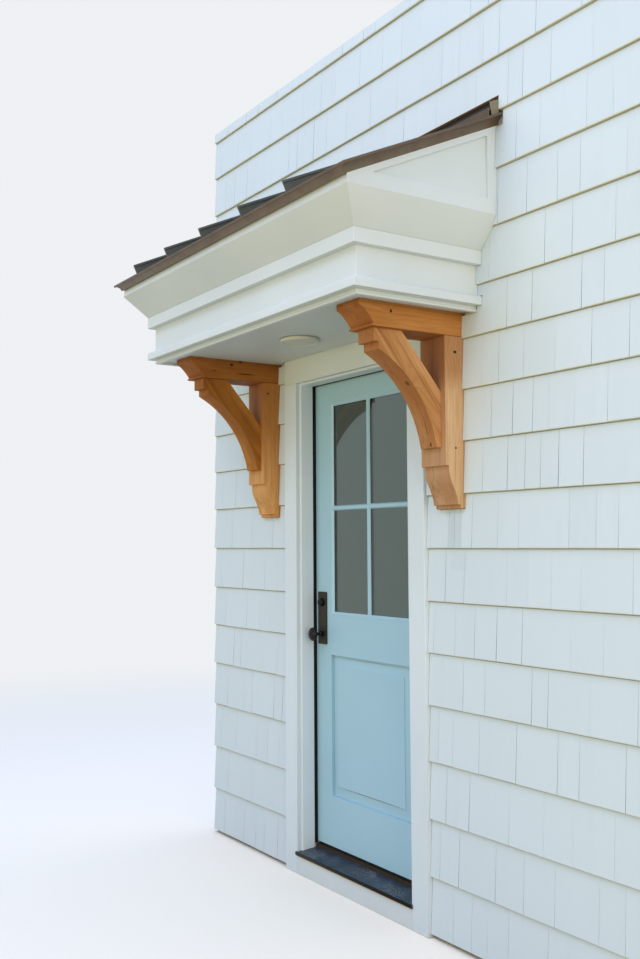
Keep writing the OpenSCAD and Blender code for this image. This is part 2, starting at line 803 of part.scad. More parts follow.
module roof_metal() {
  color(bronze) in_place() {
    before_wall() on_roof() block([-roof_x, roof_x], [0, slope_len + 100], [-metal_t, 0]);
    before_wall(flash_out) on_roof() rotate([90, 0, 0]) mirror([0, 0, 1]) linear_extrude(slope_len) seam_shape();
  }
}

// Metal trim under the roof's edge: a lip, then a hollow curve down to the boards
trim_lip = 6;
deck_in = 12;
rake_run = roof_x - cheek_x - snug;
trim_steps = 8;
function cove(t) = -metal_t - trim_lip - (trim_drop - trim_lip) * (1 - sqrt(1 - t * t));
function trim_outline(run) = concat(
  [[run, -metal_t], [0, -metal_t]],
  [for (i = [0 : trim_steps]) let (t = sin(90 * i / trim_steps)) [t * run, cove(t)]]
);

// What stays of the trim along the eave or along a rake, cut along the mitre at the corner
clear = 5;
mitre = deck_in / rake_run;
module mitre_side(keep) {
  linear_extrude(4 * trim_drop, center = true) polygon(keep == "eave"
    ? [[-roof_x - clear, -clear * mitre], [-roof_x, 0], [-cheek_x, deck_in], [-cheek_x, deck_in + clear],
       [cheek_x, deck_in + clear], [cheek_x, deck_in], [roof_x, 0], [roof_x + clear, -clear * mitre]]
    : [[cheek_x - clear, deck_in + clear * mitre], [roof_x, 0], [roof_x + clear, -clear * mitre],
       [roof_x + clear, far / 2], [cheek_x - clear, far / 2]]);
}

module eave_trim() {
  color(bronze) in_place() on_roof() intersection() {
    along_x(-roof_x, roof_x, trim_outline(deck_in));
    mitre_side("eave");
  }
}

module rake_trims() {
  color(bronze) in_place() before_wall() for (side = [0, 1]) mirror([side, 0, 0]) on_roof() intersection() {
    translate([roof_x, -10, 0]) mirror([1, 0, 0]) rotate([90, 0, 0]) mirror([0, 0, 1])
      linear_extrude(slope_len + 100) polygon(trim_outline(rake_run));
    mitre_side("rake");
  }
}

// Flashing where the roof meets the wall: a back leg, a pan that slopes down to a low front leg, and at each end
// a plate with a taller dam in front of it
sheet = 3;
back_t = 6;
back_h = 22;
dam_h = 51;
dam_back = 19;
dam_front = flash_out - 5;
leg_top = roof_z(flash_out) + flash_leg;
flash_skin = [
  [0, flash_top], [-back_t, flash_top], [-back_t, flash_top - back_h], [-flash_out + sheet, leg_top - 2 * sheet],
  [-flash_out + sheet, leg_top], [-flash_out, leg_top], [-flash_out, roof_z(flash_out) + snug],
  [-flash_out + sheet, roof_z(flash_out - sheet) + snug], [-flash_out + sheet, leg_top - 3 * sheet],
  [-sheet, flash_top - back_h - sheet], [-sheet, roof_z(sheet) + snug], [0, roof_z(0) + snug]
];
flash_end = [
  [0, flash_top], [-dam_back + 5, flash_top], [-dam_back, flash_top - 3], [-dam_back, roof_z(dam_back) + dam_h],
  [-dam_front, roof_z(dam_front) + dam_h], [-dam_front + 8, roof_z(dam_front - 8) + snug], [0, roof_z(0) + snug]
];

module wall_flashing() {
  color(bronze) in_place() {
    along_x(-flash_x + sheet - eps, flash_x - sheet + eps, flash_skin);
    for (side = [0, 1]) mirror([side, 0, 0]) along_x(flash_x - sheet, flash_x, flash_end);
  }
}

// Timber bracket, drawn on the right-hand side
curve_steps = 16;
tail_flat = 13;

// An ogee from the step down to the foot plate
tail_curve = [for (i = [0 : curve_steps]) let (t = i / curve_steps, y_top = post_d - tail_step)
  [-y_top + (y_top - tail_foot) * (1 - cos(180 * t)) / 2,
   tail_z - tail_flat - (tail_h - tail_flat - plate_foot_h) * t]];

module bracket_post() {
  half = timber_w / 2;
  plate_z = post_z + plate_foot_h;
  along_x(bracket_x - half, bracket_x + half, concat(
    [[0, post_z], [0, beam_z], [-post_d, beam_z], [-post_d, tail_z], [-post_d + tail_step, tail_z]],
    tail_curve,
    [[-plate_foot, plate_z], [-plate_foot, post_z]]
  ));
}

// The beam's front end: a lip, a hollow that steepens, and a fillet
module bracket_beam() {
  half = timber_w / 2;
  nose_z = beam_z + fillet_h;
  fall = beam_h - nose_lip - fillet_h;
  along_x(bracket_x - half, bracket_x + half, concat(
    [[0, beam_z], [0, soffit_z], [-beam_l, soffit_z]],
    [for (i = [0 : curve_steps]) let (t = i / curve_steps)
      [-beam_l + nose_in * t, soffit_z - nose_lip - fall * pow(t, 1.5)]],
    [[-beam_l + nose_in - fillet_out, nose_z], [-beam_l + nose_in - fillet_out, beam_z]]
  ));
}

// Brace: a round hollow below, a straight edge above, and two stepped blocks under the beam
arc_top = [-brace_out + step_in + 7, beam_z - block_h - low_block_h - 3];
arc_foot = [-foot_out, foot_z];
arc_mid = (arc_top + arc_foot) / 2;
arc_half = norm(arc_foot - arc_top) / 2;
arc_dir = (arc_foot - arc_top) / (2 * arc_half);
arc_centre = arc_mid + [arc_dir[1], -arc_dir[0]] * sqrt(curve_r * curve_r - arc_half * arc_half);

module bracket_brace() {
  half = brace_w / 2;
  low_out = brace_out - step_in;
  block_z = beam_z - block_h;
  translate([bracket_x - half, 0, 0]) rotate([90, 0, 90]) linear_extrude(brace_w) difference() {
    polygon([
      [-top_in, beam_z], [-post_d, heel_z], [-post_d, foot_z], [-foot_out - 1, foot_z],
      [-low_out, arc_top[1] - 1], [-low_out, block_z], [-brace_out, block_z], [-brace_out, beam_z]
    ]);
    translate(arc_centre) circle(r = curve_r, $fn = 180);
    translate([-brace_out, foot_z - 1]) square([brace_out + arc_top[0], arc_top[1] - foot_z + 4]);
  }
}

module bracket_right_post() {
  color(cedar) in_place() bracket_post();
}

module bracket_right_beam() {
  color(cedar) in_place() bracket_beam();
}

module bracket_right_brace() {
  color(cedar) in_place() bracket_brace();
}

module bracket_left_post() {
  color(cedar) mirror([1, 0, 0]) in_place() bracket_post();
}

module bracket_left_beam() {
  color(cedar) mirror([1, 0, 0]) in_place() bracket_beam();
}

module bracket_left_brace() {
  color(cedar) mirror([1, 0, 0]) in_place() bracket_brace();
}

foundation();
wall_left();
wall_right();
wall_over_door();
siding_left();
siding_right();
siding_over_door();
casing_left();
casing_right();
header_board();
threshold_skirt();
inside_casing();
door_frame();
weatherstrip();
threshold();
door_leaf();
door_panel();
door_glass();
glazing_bars();
door_sweep();
handle_plates();
deadbolt();
door_knob();
hinges_on_frame();
hinges_on_door();
canopy_frame();
soffit();
soffit_light();
bed_moulding();
lower_band();
frieze();
fascia_band();
crown();
eave_board();
cheek_left();
cheek_right();
roof_deck();
roof_metal();
eave_trim();
rake_trims();
wall_flashing();
bracket_left_post();
bracket_left_beam();
bracket_left_brace();
bracket_right_post();
bracket_right_beam();
bracket_right_brace();
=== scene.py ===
"""Looks of the entrance porch: finishes, shingles, eased timber, mouldings and lamps round the frame."""

import logging
import math
import random
from dataclasses import dataclass, replace
from enum import Enum
from functools import partialmethod

import bmesh
import bpy
from mathutils import Matrix, Vector


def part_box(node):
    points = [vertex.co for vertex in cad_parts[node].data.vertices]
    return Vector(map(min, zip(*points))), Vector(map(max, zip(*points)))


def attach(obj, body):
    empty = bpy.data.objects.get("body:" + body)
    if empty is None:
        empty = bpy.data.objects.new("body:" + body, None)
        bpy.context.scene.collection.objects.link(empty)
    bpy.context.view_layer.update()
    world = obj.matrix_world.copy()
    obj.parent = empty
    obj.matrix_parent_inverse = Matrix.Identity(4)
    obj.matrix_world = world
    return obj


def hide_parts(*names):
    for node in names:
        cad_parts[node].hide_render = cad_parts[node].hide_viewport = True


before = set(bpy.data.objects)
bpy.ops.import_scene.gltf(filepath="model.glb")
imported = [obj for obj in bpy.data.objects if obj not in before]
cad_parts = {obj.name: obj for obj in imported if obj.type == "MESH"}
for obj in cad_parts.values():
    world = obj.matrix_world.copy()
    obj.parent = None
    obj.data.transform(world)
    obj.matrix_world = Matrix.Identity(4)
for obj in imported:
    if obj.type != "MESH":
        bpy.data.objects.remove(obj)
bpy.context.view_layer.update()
LOG = logging.getLogger("porch")

Colour = tuple[float, float, float, float]
Vec = tuple[float, float, float]
Pair = tuple[float, float]
Material = bpy.types.Material
Shape = bmesh.types.BMesh

WELD_REACH = 1e-5
FLAT_ANGLE = math.radians(0.2)
SHARP_ANGLE = math.radians(28)
MARK_EDGE: Pair = (1.15, 0.55)


def srgb(*levels: int) -> Colour:
    """Turns a colour as a screen shows it into the linear light that a shader takes.

    Args:
        levels: Its red, green and blue, from 0 to 255.

    Returns:
        The linear colour with full cover.
    """
    shares = (level / 255 for level in levels)
    return (*(s / 12.92 if s <= 0.04045 else ((s + 0.055) / 1.055) ** 2.4 for s in shares), 1.0)


@dataclass(frozen=True)
class Mark:
    """An oval spot on a finish: a knot where rings swirl round it, else a crack, a joint, a line of painted shadow
    or a splash.

    The lean tips its top outwards from the wall, in radians.
    """

    place: Vec
    reach: Vec
    swirl: float = 3.5
    depth: float = 1.0
    lean: float = 0.0


class Wire:
    """A value in a finish's nodes that takes part in arithmetic."""

    def __init__(self, tree: "Tree", socket: bpy.types.NodeSocket) -> None:
        """Keeps the socket and the tree that it belongs to."""
        self.tree = tree
        self.socket = socket

    def maths(self, operation: str, *others: "Wire | float", swapped: bool = False) -> "Wire":
        """Adds a Math node on this value.

        Args:
            operation: The Math node's operation.
            others: The values that follow this one.
            swapped: Whether this value comes second.

        Returns:
            The node's result.
        """
        values = (others[0], self) if swapped else (self, *others)
        return self.tree.wire("ShaderNodeMath", dict(enumerate(values)), operation=operation)

    __add__ = __radd__ = partialmethod(maths, "ADD")
    __sub__ = partialmethod(maths, "SUBTRACT")
    __rsub__ = partialmethod(maths, "SUBTRACT", swapped=True)
    __mul__ = __rmul__ = partialmethod(maths, "MULTIPLY")
    __truediv__ = partialmethod(maths, "DIVIDE")
    __rtruediv__ = partialmethod(maths, "DIVIDE", swapped=True)
    __pow__ = partialmethod(maths, "POWER")
    __abs__ = partialmethod(maths, "ABSOLUTE")

    def fade(self, start: float, end: float) -> "Wire":
        """Eases from 0 to 1 as this value goes from start to end.

        Args:
            start: The value that gives 0.
            end: The value that gives 1.

        Returns:
            The eased value.
        """
        low, high, swapped = (start, end, False) if start < end else (end, start, True)
        result = self.tree.wire("ShaderNodeMapRange", {"Value": self, "From Min": low, "From Max": high},
                                interpolation_type="SMOOTHSTEP")
        return 1 - result if swapped else result

    def past(self, place: float, soft: Pair) -> "Wire":
        """Eases from 0 to 1 over the soft border of a place, or back where the border runs downwards."""
        return self.fade(place + soft[0], place + soft[1])


class Tree:
    """The node tree of one finish, or of the world."""

    def __init__(self, name: str, colour: Colour | None = None, world: bpy.types.World | None = None) -> None:
        """Starts a material under a plain name on its first colour, or empties the nodes of a world."""
        self.colour: Wire | Colour | None = colour
        self.material = world or bpy.data.materials.new(name)
        self.material.use_nodes = True
        self.nodes = self.material.node_tree.nodes
        self.links = self.material.node_tree.links
        self.nodes.clear()
        self.where = None if world else self.wire("ShaderNodeTexCoord", result="Object")

    def node(self, kind: str, sockets: dict | None = None, **settings: str) -> bpy.types.Node:
        """Makes one node.

        Args:
            kind: Blender's name for the node.
            sockets: A value or a wire for each input, by name or number.
            settings: What is set on the node first.

        Returns:
            The node.
        """
        node = self.nodes.new(kind)
        for name, value in settings.items():
            setattr(node, name, value)
        for name, value in (sockets or {}).items():
            if isinstance(value, Wire):
                self.links.new(value.socket, node.inputs[name])
            else:
                node.inputs[name].default_value = value
        return node

    def wire(self, kind: str, sockets: dict | None = None, result: int | str = 0, **settings: str) -> Wire:
        """Makes one node and gives the wire from one of its outputs."""
        return Wire(self, self.node(kind, sockets, **settings).outputs[result])

    def place(self, scale: Vec = (1, 1, 1), centre: Vec = (0, 0, 0), turn: Vec = (0, 0, 0)) -> Wire:
        """Centres, turns (in radians) and then scales the object's own coordinates."""
        sockets = {"Vector": self.where, "Location": centre, "Rotation": turn,
                   "Scale": tuple(1 / share for share in scale)}
        return self.wire("ShaderNodeMapping", sockets, vector_type="TEXTURE")

    def noise(self, scale: float = 1, detail: float = 2, roughness: float = 0.5, where: Wire | None = None,
              shift: Wire | float = 0.0) -> Wire:
        """Soft noise from 0 to 1, of which the shift picks another stretch."""
        sockets = {"Vector": where or self.where, "W": shift, "Scale": scale, "Detail": detail,
                   "Roughness": roughness}
        return self.wire("ShaderNodeTexNoise", sockets, noise_dimensions="4D")

    def split(self, where: Wire | None = None) -> tuple[Wire, Wire, Wire]:
        """The three parts of a vector, or else of the object's own coordinates."""
        node = self.node("ShaderNodeSeparateXYZ", {0: where or self.where})
        return tuple(Wire(self, socket) for socket in node.outputs)

    def blend(self, factor: Wire | float, first: Wire | Colour, second: Wire | Colour) -> Wire:
        """Mixes two colours."""
        return self.wire("ShaderNodeMix", {0: factor, 6: first, 7: second}, 2, data_type="RGBA")

    def coat(self, share: Wire | float, colour: Wire | Colour) -> None:
        """Lays a share of another colour over the finish."""
        self.colour = self.blend(share, self.colour, colour)

    def either(self, factor: Wire, first: Wire, second: Wire) -> Wire:
        """Mixes two shaders."""
        return self.wire("ShaderNodeMixShader", {0: factor, 1: first, 2: second})

    def attribute(self, name: str) -> Wire:
        """A number that the piece carries on its faces."""
        return self.wire("ShaderNodeAttribute", result="Fac", attribute_name=name)

    def length(self, where: Wire) -> Wire:
        """How long a vector is."""
        return self.wire("ShaderNodeVectorMath", {0: where}, "Value", operation="LENGTH")

    def apart(self, mark: Mark) -> Wire:
        """The distance from the middle of a mark: 0 at its centre and 1 on its oval."""
        return self.length(self.place(tuple(1 / r for r in mark.reach), mark.place, (mark.lean, 0.0, 0.0)))

    def surface(self, roughness: Wire | float, height: Wire, depth: float,
                **values: Wire | float | Colour) -> Material:
        """Ends the tree in one shader of the finish's colour.

        Args:
            roughness: How rough it is.
            height: Its relief, from 0 to 1.
            depth: How deep a step of 1 in the relief is, in metres.
            values: Its other sockets in lower case, with underscores for spaces.

        Returns:
            The material.
        """
        normal = self.wire("ShaderNodeBump", {"Height": height, "Distance": depth, "Strength": 1.0})
        sockets = {"Base Color": self.colour, "Roughness": roughness, "Normal": normal}
        for name, value in values.items():
            sockets[name.replace("_", " ").title().replace("Ior", "IOR")] = value
        self.node("ShaderNodeOutputMaterial", {"Surface": self.wire("ShaderNodeBsdfPrincipled", sockets)})
        return self.material


class Axis(Enum):
    """The way that brush marks or grain run."""

    ALONG = 0
    DEEP = 1
    UP = 2

    def stretch(self, across: float, along: float) -> Vec:
        """Scales for a pattern that is fine across and long along this axis."""
        return tuple(along if i == self.value else across for i in range(3))


@dataclass(frozen=True)
class Paint:
    """Brushed paint on smooth boards."""

    name: str
    colour: Colour
    shade: Colour
    roughness: float = 0.42
    run: Axis = Axis.ALONG
    soiled: float = 0.0
    soil: Colour = srgb(120, 112, 98)
    soil_height: float = 0.16
    brush_depth: float = 0.00025
    # colour of the dark lines, for hairline joints and for painted shadow
    seam_and_shadow: Colour = srgb(96, 102, 110)
    seams_and_shadows: tuple[Mark, ...] = ()

    def material(self) -> Material:
        """Lays faint clouds, brush marks, dark lines for hairline joints and painted shadow and, where it is
        soiled, splashes near its foot.

        Returns:
            The material.
        """
        tree = Tree(self.name, self.colour)
        clouds = tree.noise(2.3, 3)
        marks = tree.noise(1, 3, 0.6, tree.place(self.run.stretch(260, 7)))
        tree.coat(clouds.fade(0.3, 0.75) * 0.55, self.shade)
        if self.soiled:
            low = tree.split()[2].fade(self.soil_height, 0.0)
            tree.coat(low * tree.noise(75, 4, 0.7).fade(0.4, 0.75) * self.soiled, self.soil)
        # dark lines: hairline joints, and painted shadow along mouldings
        for mark in self.seams_and_shadows:
            line = tree.apart(mark).fade(*MARK_EDGE) * (marks.fade(0.3, 0.5) * 0.4 + 0.6)
            tree.coat(line * mark.depth, self.seam_and_shadow)
        return tree.surface(clouds * 0.1 + (self.roughness - 0.05) + marks * 0.06, marks, self.brush_depth)


@dataclass(frozen=True)
class ShinglePaint:
    """White paint on sawn shingles, with fine upright grain that differs from shingle to shingle.

    A stain is given by its left and right edge, its lower and upper edge, and its strength.
    """

    name: str = "painted_shingles"
    colour: Colour = srgb(212, 222, 228)
    shade: Colour = srgb(200, 210, 215)
    # painted highlight on the slanted lower edge of each butt
    painted_arris_highlight: Colour = srgb(248, 246, 232)
    # painted shade on the undersides of the butts
    butt: Colour = srgb(208, 204, 179)
    # painted shadow: an olive band just under each butt, and how far below the butt it fades
    painted_butt_shadow: Colour = srgb(134, 130, 104)
    painted_butt_shadow_depth: Pair = (0.0047, 0.0017)
    raw: Colour = srgb(186, 156, 116)
    stain: Colour = srgb(128, 140, 144)
    stains: tuple[tuple[Pair, Pair, float], ...] = (
        ((0.627, 0.702), (1.43, 1.59), 0.22), ((0.612, 0.640), (1.545, 1.59), 0.14),
        ((0.64, 0.73), (1.35, 1.43), 0.06))
    stain_sides: tuple[Pair, Pair] = ((-0.006, 0.003), (0.001, -0.003))
    stain_ends: tuple[Pair, Pair] = ((-0.004, 0.004), (0.0, -0.03))
    cut_height: float = 3.0164
    cut_reach: float = 0.932
    cut_half: Pair = (0.0022, 0.0006)

    def material(self) -> Material:
        """Lays paint over grain, with painted shadow under the butts, painted shade on their undersides, a painted
        highlight on their lower edge, damp stains and a raw edge over the flashing.

        Returns:
            The material.
        """
        tree = Tree(self.name, self.colour)
        tone, edge, top = (tree.attribute(name) for name in ("tone", "edge", "top"))
        across, _, up = tree.split()
        grain = tree.noise(1, 4, 0.65, tree.place(Axis.UP.stretch(230, 5)), tone * 40)
        soft = tree.noise(1, 2, 0.5, tree.place(Axis.UP.stretch(22, 1.5)), tone * 40)
        fine = tree.noise(320, 2)
        blot = tree.noise(1, 5, 0.7, tree.place(Axis.UP.stretch(42, 9))).fade(0.25, 0.6) * 0.5 + 0.5
        tree.coat(tone * 0.22 + grain.fade(0.5, 0.8) * 0.22, self.shade)
        tree.coat(soft.fade(0.55, 0.8) * 0.25, self.shade)
        for (left, right), (low, high), strength in self.stains:
            wide = across.past(left, self.stain_sides[0]) * across.past(right, self.stain_sides[1])
            tall = up.past(low, self.stain_ends[0]) * up.past(high, self.stain_ends[1])
            tree.coat(wide * tall * blot * strength, self.stain)
        # painted shadow on the course below, just under each butt
        tree.coat((top - up).fade(*self.painted_butt_shadow_depth) * (fine * 0.4 + 0.7), self.painted_butt_shadow)
        # painted highlight: the slanted lower-edge faces (edge near 1) turn cream
        tree.coat(edge.fade(0.2, 0.8) * 0.8, self.painted_arris_highlight)
        # painted shade: the faces that look down (edge near -1) take the underside colour
        tree.coat(edge.fade(-0.2, -0.8), self.butt)
        cut = abs(up - self.cut_height).fade(*self.cut_half) * abs(across).past(self.cut_reach, (0.001, 0.0))
        tree.coat(cut, self.raw)
        return tree.surface(grain * 0.12 + 0.52, grain * 0.55 + soft * 1.2 + fine * 0.12, 0.0008)


@dataclass(frozen=True)
class Cedar:
    """Oiled cedar of one member: how its grain leans, its two tones, its marks, its painted shade and the rest."""

    lean: float
    light: Colour
    middle: Colour
    marks: tuple[Mark, ...] = ()
    # painted shade: strength and heights of a deeper tone towards the top, under the beam
    painted_top_shade: float = 0.0
    painted_top_shade_heights: Pair = (0.0, 1.0)
    name: str = "cedar"
    centre: Vec = (0.0, 0.0, 0.0)
    pith: Pair = (0.07, 0.11)
    rings_per_metre: float = 90
    # painted shade on faces that do not look along x: the fronts and curved faces
    sawn: float = 0.0
    dark: Colour = srgb(112, 58, 20)
    core: Colour = srgb(48, 26, 14)
    # colour of the painted shade towards the top
    deep: Colour = srgb(150, 84, 24)
    # colour of that painted shade
    painted_front_shade_colour: Colour = srgb(140, 66, 4)

    def material(self) -> Material:
        """Draws rings that come and go round a pith beside the member, its fibres, its knots and its cracks.

        Painted shade darkens the faces that do not look along x, the fronts and curves, and deepens the tone
        towards the top, between given heights, where the member lies under the beam.

        Returns:
            The material.
        """
        tree = Tree(self.name, self.light)
        turn = (self.lean, 0.0, 0.0)

        def grain(across: float, along: float, detail: float, roughness: float, shift: float = 0.0) -> Wire:
            """Noise drawn out along the member."""
            place = tree.place((across, across, along), self.centre, turn)
            return tree.noise(1, detail, roughness, place, shift)

        across, deep, _ = tree.split(tree.place(centre=self.centre, turn=turn))
        away = ((across + self.pith[0]) ** 2 + (deep + self.pith[1]) ** 2) ** 0.5
        rings = away * self.rings_per_metre + grain(6, 1.4, 3, 0.55) * 8
        core: Wire | float = 0.0
        for mark in self.marks:
            apart = tree.apart(mark)
            if mark.swirl:
                rings = rings + mark.swirl / (1 + (apart * 0.6) ** 2)
            core = apart.fade(*MARK_EDGE) * mark.depth + core
        band = rings.maths("FRACT")
        late = (band ** 2.2) * band.fade(1.0, 0.86)
        patch = grain(11, 1.8, 4, 0.6, 3.7)
        fibre = grain(420, 9, 4, 0.65)
        tree.coat(grain(9, 2.6, 4, 0.6).fade(0.32, 0.68), self.middle)
        tree.coat(late * patch.fade(0.4, 0.68) * 0.38, self.dark)
        tree.coat(grain(75, 2.2, 3, 0.6).fade(0.5, 0.72) * 0.42, self.dark)
        tree.coat(fibre.fade(0.5, 0.8) * 0.28, self.dark)
        # painted shade towards the top, under the beam
        if self.painted_top_shade:
            tree.coat(tree.split()[2].fade(*self.painted_top_shade_heights) * self.painted_top_shade, self.deep)
        # painted shade on faces whose normal does not point along x
        facing = tree.split(tree.wire("ShaderNodeTexCoord", result="Normal"))[0]
        tree.coat(abs(facing).fade(0.7, 0.35) * self.sawn, self.painted_front_shade_colour)
        if self.marks:
            tree.coat(core.maths("MINIMUM", 1.0), self.core)
        return tree.surface(fibre * 0.2 + 0.55, 1 - late * patch * 0.5 - fibre * 0.6, 0.0005,
                            specular_ior_level=0.22)


@dataclass(frozen=True)
class CoatedMetal:
    """Coated sheet metal with faint oil-canning and dust."""

    name: str
    colour: Colour
    shade: Colour
    metallic: float = 0.35
    roughness: float = 0.42
    dusty: float = 0.25
    dust: Colour = srgb(150, 140, 128)

    def material(self) -> Material:
        """Lays a satin coat that dulls where dust lies.

        Returns:
            The material.
        """
        tree = Tree(self.name, self.colour)
        waves = tree.noise(1, 2, where=tree.place(Axis.DEEP.stretch(5, 1.5)))
        cloud = tree.noise(11, 4, 0.6)
        speck = tree.noise(190, 3, 0.7)
        settled = cloud.fade(0.45, 0.75) * speck.fade(0.4, 0.7) * self.dusty
        tree.coat(cloud.fade(0.3, 0.7), self.shade)
        tree.coat(settled, self.dust)
        return tree.surface(self.roughness + settled * 0.8 + cloud * 0.08, waves * 0.9 + speck * 0.02, 0.002,
                            metallic=self.metallic - settled * self.metallic)


@dataclass(frozen=True)
class FlashingMetal(CoatedMetal):
    """The wall flashing: bronze legs, painted shade in the band between them and beige dams at its ends."""

    metallic: float = 0.2
    # painted shade: near-black for the shadow in the recess between the legs, and where that band lies
    painted_recess_shade: Colour = srgb(22, 21, 20)
    painted_recess_shade_place: Pair = (-0.1185, -0.0635)
    dam: Colour = srgb(132, 124, 100)
    dam_reach: float = 0.929
    dam_front: float = -0.0775
    before: Pair = (-0.0005, 0.0)
    after: Pair = (0.0005, 0.0)

    def material(self) -> Material:
        """Lays a coat whose colour follows the parts of the flashing.

        Returns:
            The material.
        """
        tree = Tree(self.name, self.colour)
        across, deep, _ = tree.split()
        cloud = tree.noise(14, 4, 0.6)
        end = abs(across).past(self.dam_reach, (-0.002, 0.0))
        painted_recess_shade = deep.past(self.painted_recess_shade_place[0], self.before) * deep.past(self.painted_recess_shade_place[1], self.after)
        tree.coat(cloud.fade(0.3, 0.7), self.shade)
        # painted shade in the recess, short of the dams
        tree.coat(painted_recess_shade * (1 - end), self.painted_recess_shade)
        tree.coat(deep.past(self.dam_front, self.after) * end, self.dam)
        return tree.surface(tree.noise(190, 3, 0.7) * 0.15 + self.roughness, cloud, 0.001,
                            metallic=self.metallic)


@dataclass(frozen=True)
class RakeMetal(CoatedMetal):
    """The edge trim, with a grey-olive streak of wear along its lower part."""

    metallic: float = 0.25
    wear: Colour = srgb(112, 110, 92)
    worn: float = 0.4
    front: Pair = (-0.764, 2.646)
    slope: float = math.tan(math.radians(24.5))
    streak: Pair = (0.018, 0.026)

    def material(self) -> Material:
        """Lays a coat that wears towards its lower edge.

        Returns:
            The material.
        """
        tree = Tree(self.name, self.colour)
        _, deep, up = tree.split()
        cloud = tree.noise(14, 4, 0.6)
        below = (deep - self.front[0]) * self.slope + self.front[1] - up
        tree.coat(cloud.fade(0.3, 0.7), self.shade)
        tree.coat(below.fade(*self.streak) * tree.noise(26, 3, 0.6).fade(0.35, 0.65) * self.worn, self.wear)
        return tree.surface(cloud * 0.1 + self.roughness, cloud, 0.001, metallic=self.metallic)


@dataclass(frozen=True)
class Slate:
    """The sill: a slate-coloured cap with dried splashes, a black nose, a raw strip and a brown riser."""

    name: str = "slate_sill"
    colour: Colour = srgb(58, 70, 84)
    shade: Colour = srgb(46, 54, 64)
    splash: Colour = srgb(128, 132, 130)
    nose: Colour = srgb(9, 9, 10)
    strip: Colour = srgb(216, 184, 134)
    riser: Colour = srgb(40, 33, 28)
    rib: Colour = srgb(104, 92, 74)
    rib_step: float = 0.0042
    splashes: tuple[Mark, ...] = tuple(
        Mark(place, (0.12, 0.05, 0.05))
        for place in ((0.25, -0.06, 0.10), (-0.33, -0.06, 0.10), (0.02, -0.03, 0.10)))
    nose_front: float = -0.0965
    strip_top: float = 0.0825
    strip_back: float = -0.0915
    riser_place: Pair = (0.0025, 0.1062)
    thin: Pair = (0.0, 0.0006)
    broad: Pair = (0.0, 0.001)

    def material(self) -> Material:
        """Lays a satin coat whose colour follows the parts of the sill.

        Returns:
            The material.
        """
        tree = Tree(self.name, self.shade)
        _, deep, up = tree.split()
        cloud = tree.noise(16, 4, 0.6)
        speck = tree.noise(120, 4, 0.75)
        near: Wire | float = 0.0
        for splash in self.splashes:
            near = tree.apart(splash).fade(1.1, 0.3) + near
        drops = (near + cloud.fade(0.5, 0.66) * 0.5) * speck.fade(0.5, 0.6)
        riser = deep.past(self.riser_place[0], self.broad) * up.past(self.riser_place[1], self.thin)
        ribs = (up / self.rib_step).maths("FRACT").fade(0.66, 0.8)
        low = (1 - up.past(self.strip_top, (-0.0004, 0.0))) * (1 - deep.past(self.strip_back, self.broad))
        tree.coat(cloud.fade(0.35, 0.6), self.colour)
        tree.coat(drops.maths("MINIMUM", 0.85), self.splash)
        tree.coat(riser, tree.blend(ribs * 0.6, self.riser, self.rib))
        tree.coat(1 - deep.past(self.nose_front, self.thin), self.nose)
        tree.coat(low, self.strip)
        return tree.surface(drops * 0.2 + 0.38, speck, 0.0003, specular_ior_level=0.14)


@dataclass(frozen=True)
class Concrete:
    """Cast concrete with pits and a damp foot."""

    name: str = "cast_concrete"
    colour: Colour = srgb(206, 196, 168)
    shade: Colour = srgb(176, 166, 138)
    damp: Colour = srgb(120, 112, 94)
    damp_height: float = 0.05

    def material(self) -> Material:
        """Lays a pitted face that darkens towards the ground.

        Returns:
            The material.
        """
        tree = Tree(self.name, self.colour)
        cloud = tree.noise(7, 5, 0.6)
        tree.coat(cloud.fade(0.3, 0.7), self.shade)
        tree.coat(tree.split()[2].fade(self.damp_height, 0.0) * 0.7, self.damp)
        return tree.surface(0.85, tree.noise(140, 3, 0.7).fade(0.3, 0.5) + cloud, 0.0015)


@dataclass(frozen=True)
class Glass:
    """Grey-green glazing."""

    name: str = "grey_glass"
    colour: Colour = srgb(65, 77, 70)
    sheen: Colour = srgb(238, 255, 248)
    bend: float = 1.7

    def material(self) -> Material:
        """Clear tinted glass with faint waves in its face."""
        tree = Tree(self.name, self.colour)
        return tree.surface(0.02, tree.noise(4, 1), 0.0006, transmission_weight=1.0, ior=self.bend,
                            specular_tint=self.sheen)


@dataclass(frozen=True)
class Even:
    """An even material with a cloud of a second tone and a fine relief.

    A noise is given by its scale, octaves and roughness; the roughness by its least and the cloud's share.
    """

    name: str
    colour: Colour
    shade: Colour
    cloud: Vec
    roughness: Pair
    depth: float
    strength: float = 0.3
    fade: Pair | None = None
    relief: Vec | None = None
    stretch: Vec = (1, 1, 1)
    metallic: float = 0.0
    sheen: float = 0.5

    def material(self) -> Material:
        """Lays the cloud over the colour and takes the relief from a finer noise, or else from the cloud.

        Returns:
            The material.
        """
        tree = Tree(self.name, self.colour)
        cloud = tree.noise(*self.cloud, tree.place(self.stretch))
        tree.coat((cloud.fade(*self.fade) if self.fade else cloud) * self.strength, self.shade)
        relief = tree.noise(*self.relief) if self.relief else cloud
        return tree.surface(cloud * self.roughness[1] + self.roughness[0], relief, self.depth,
                            metallic=self.metallic, specular_ior_level=self.sheen)


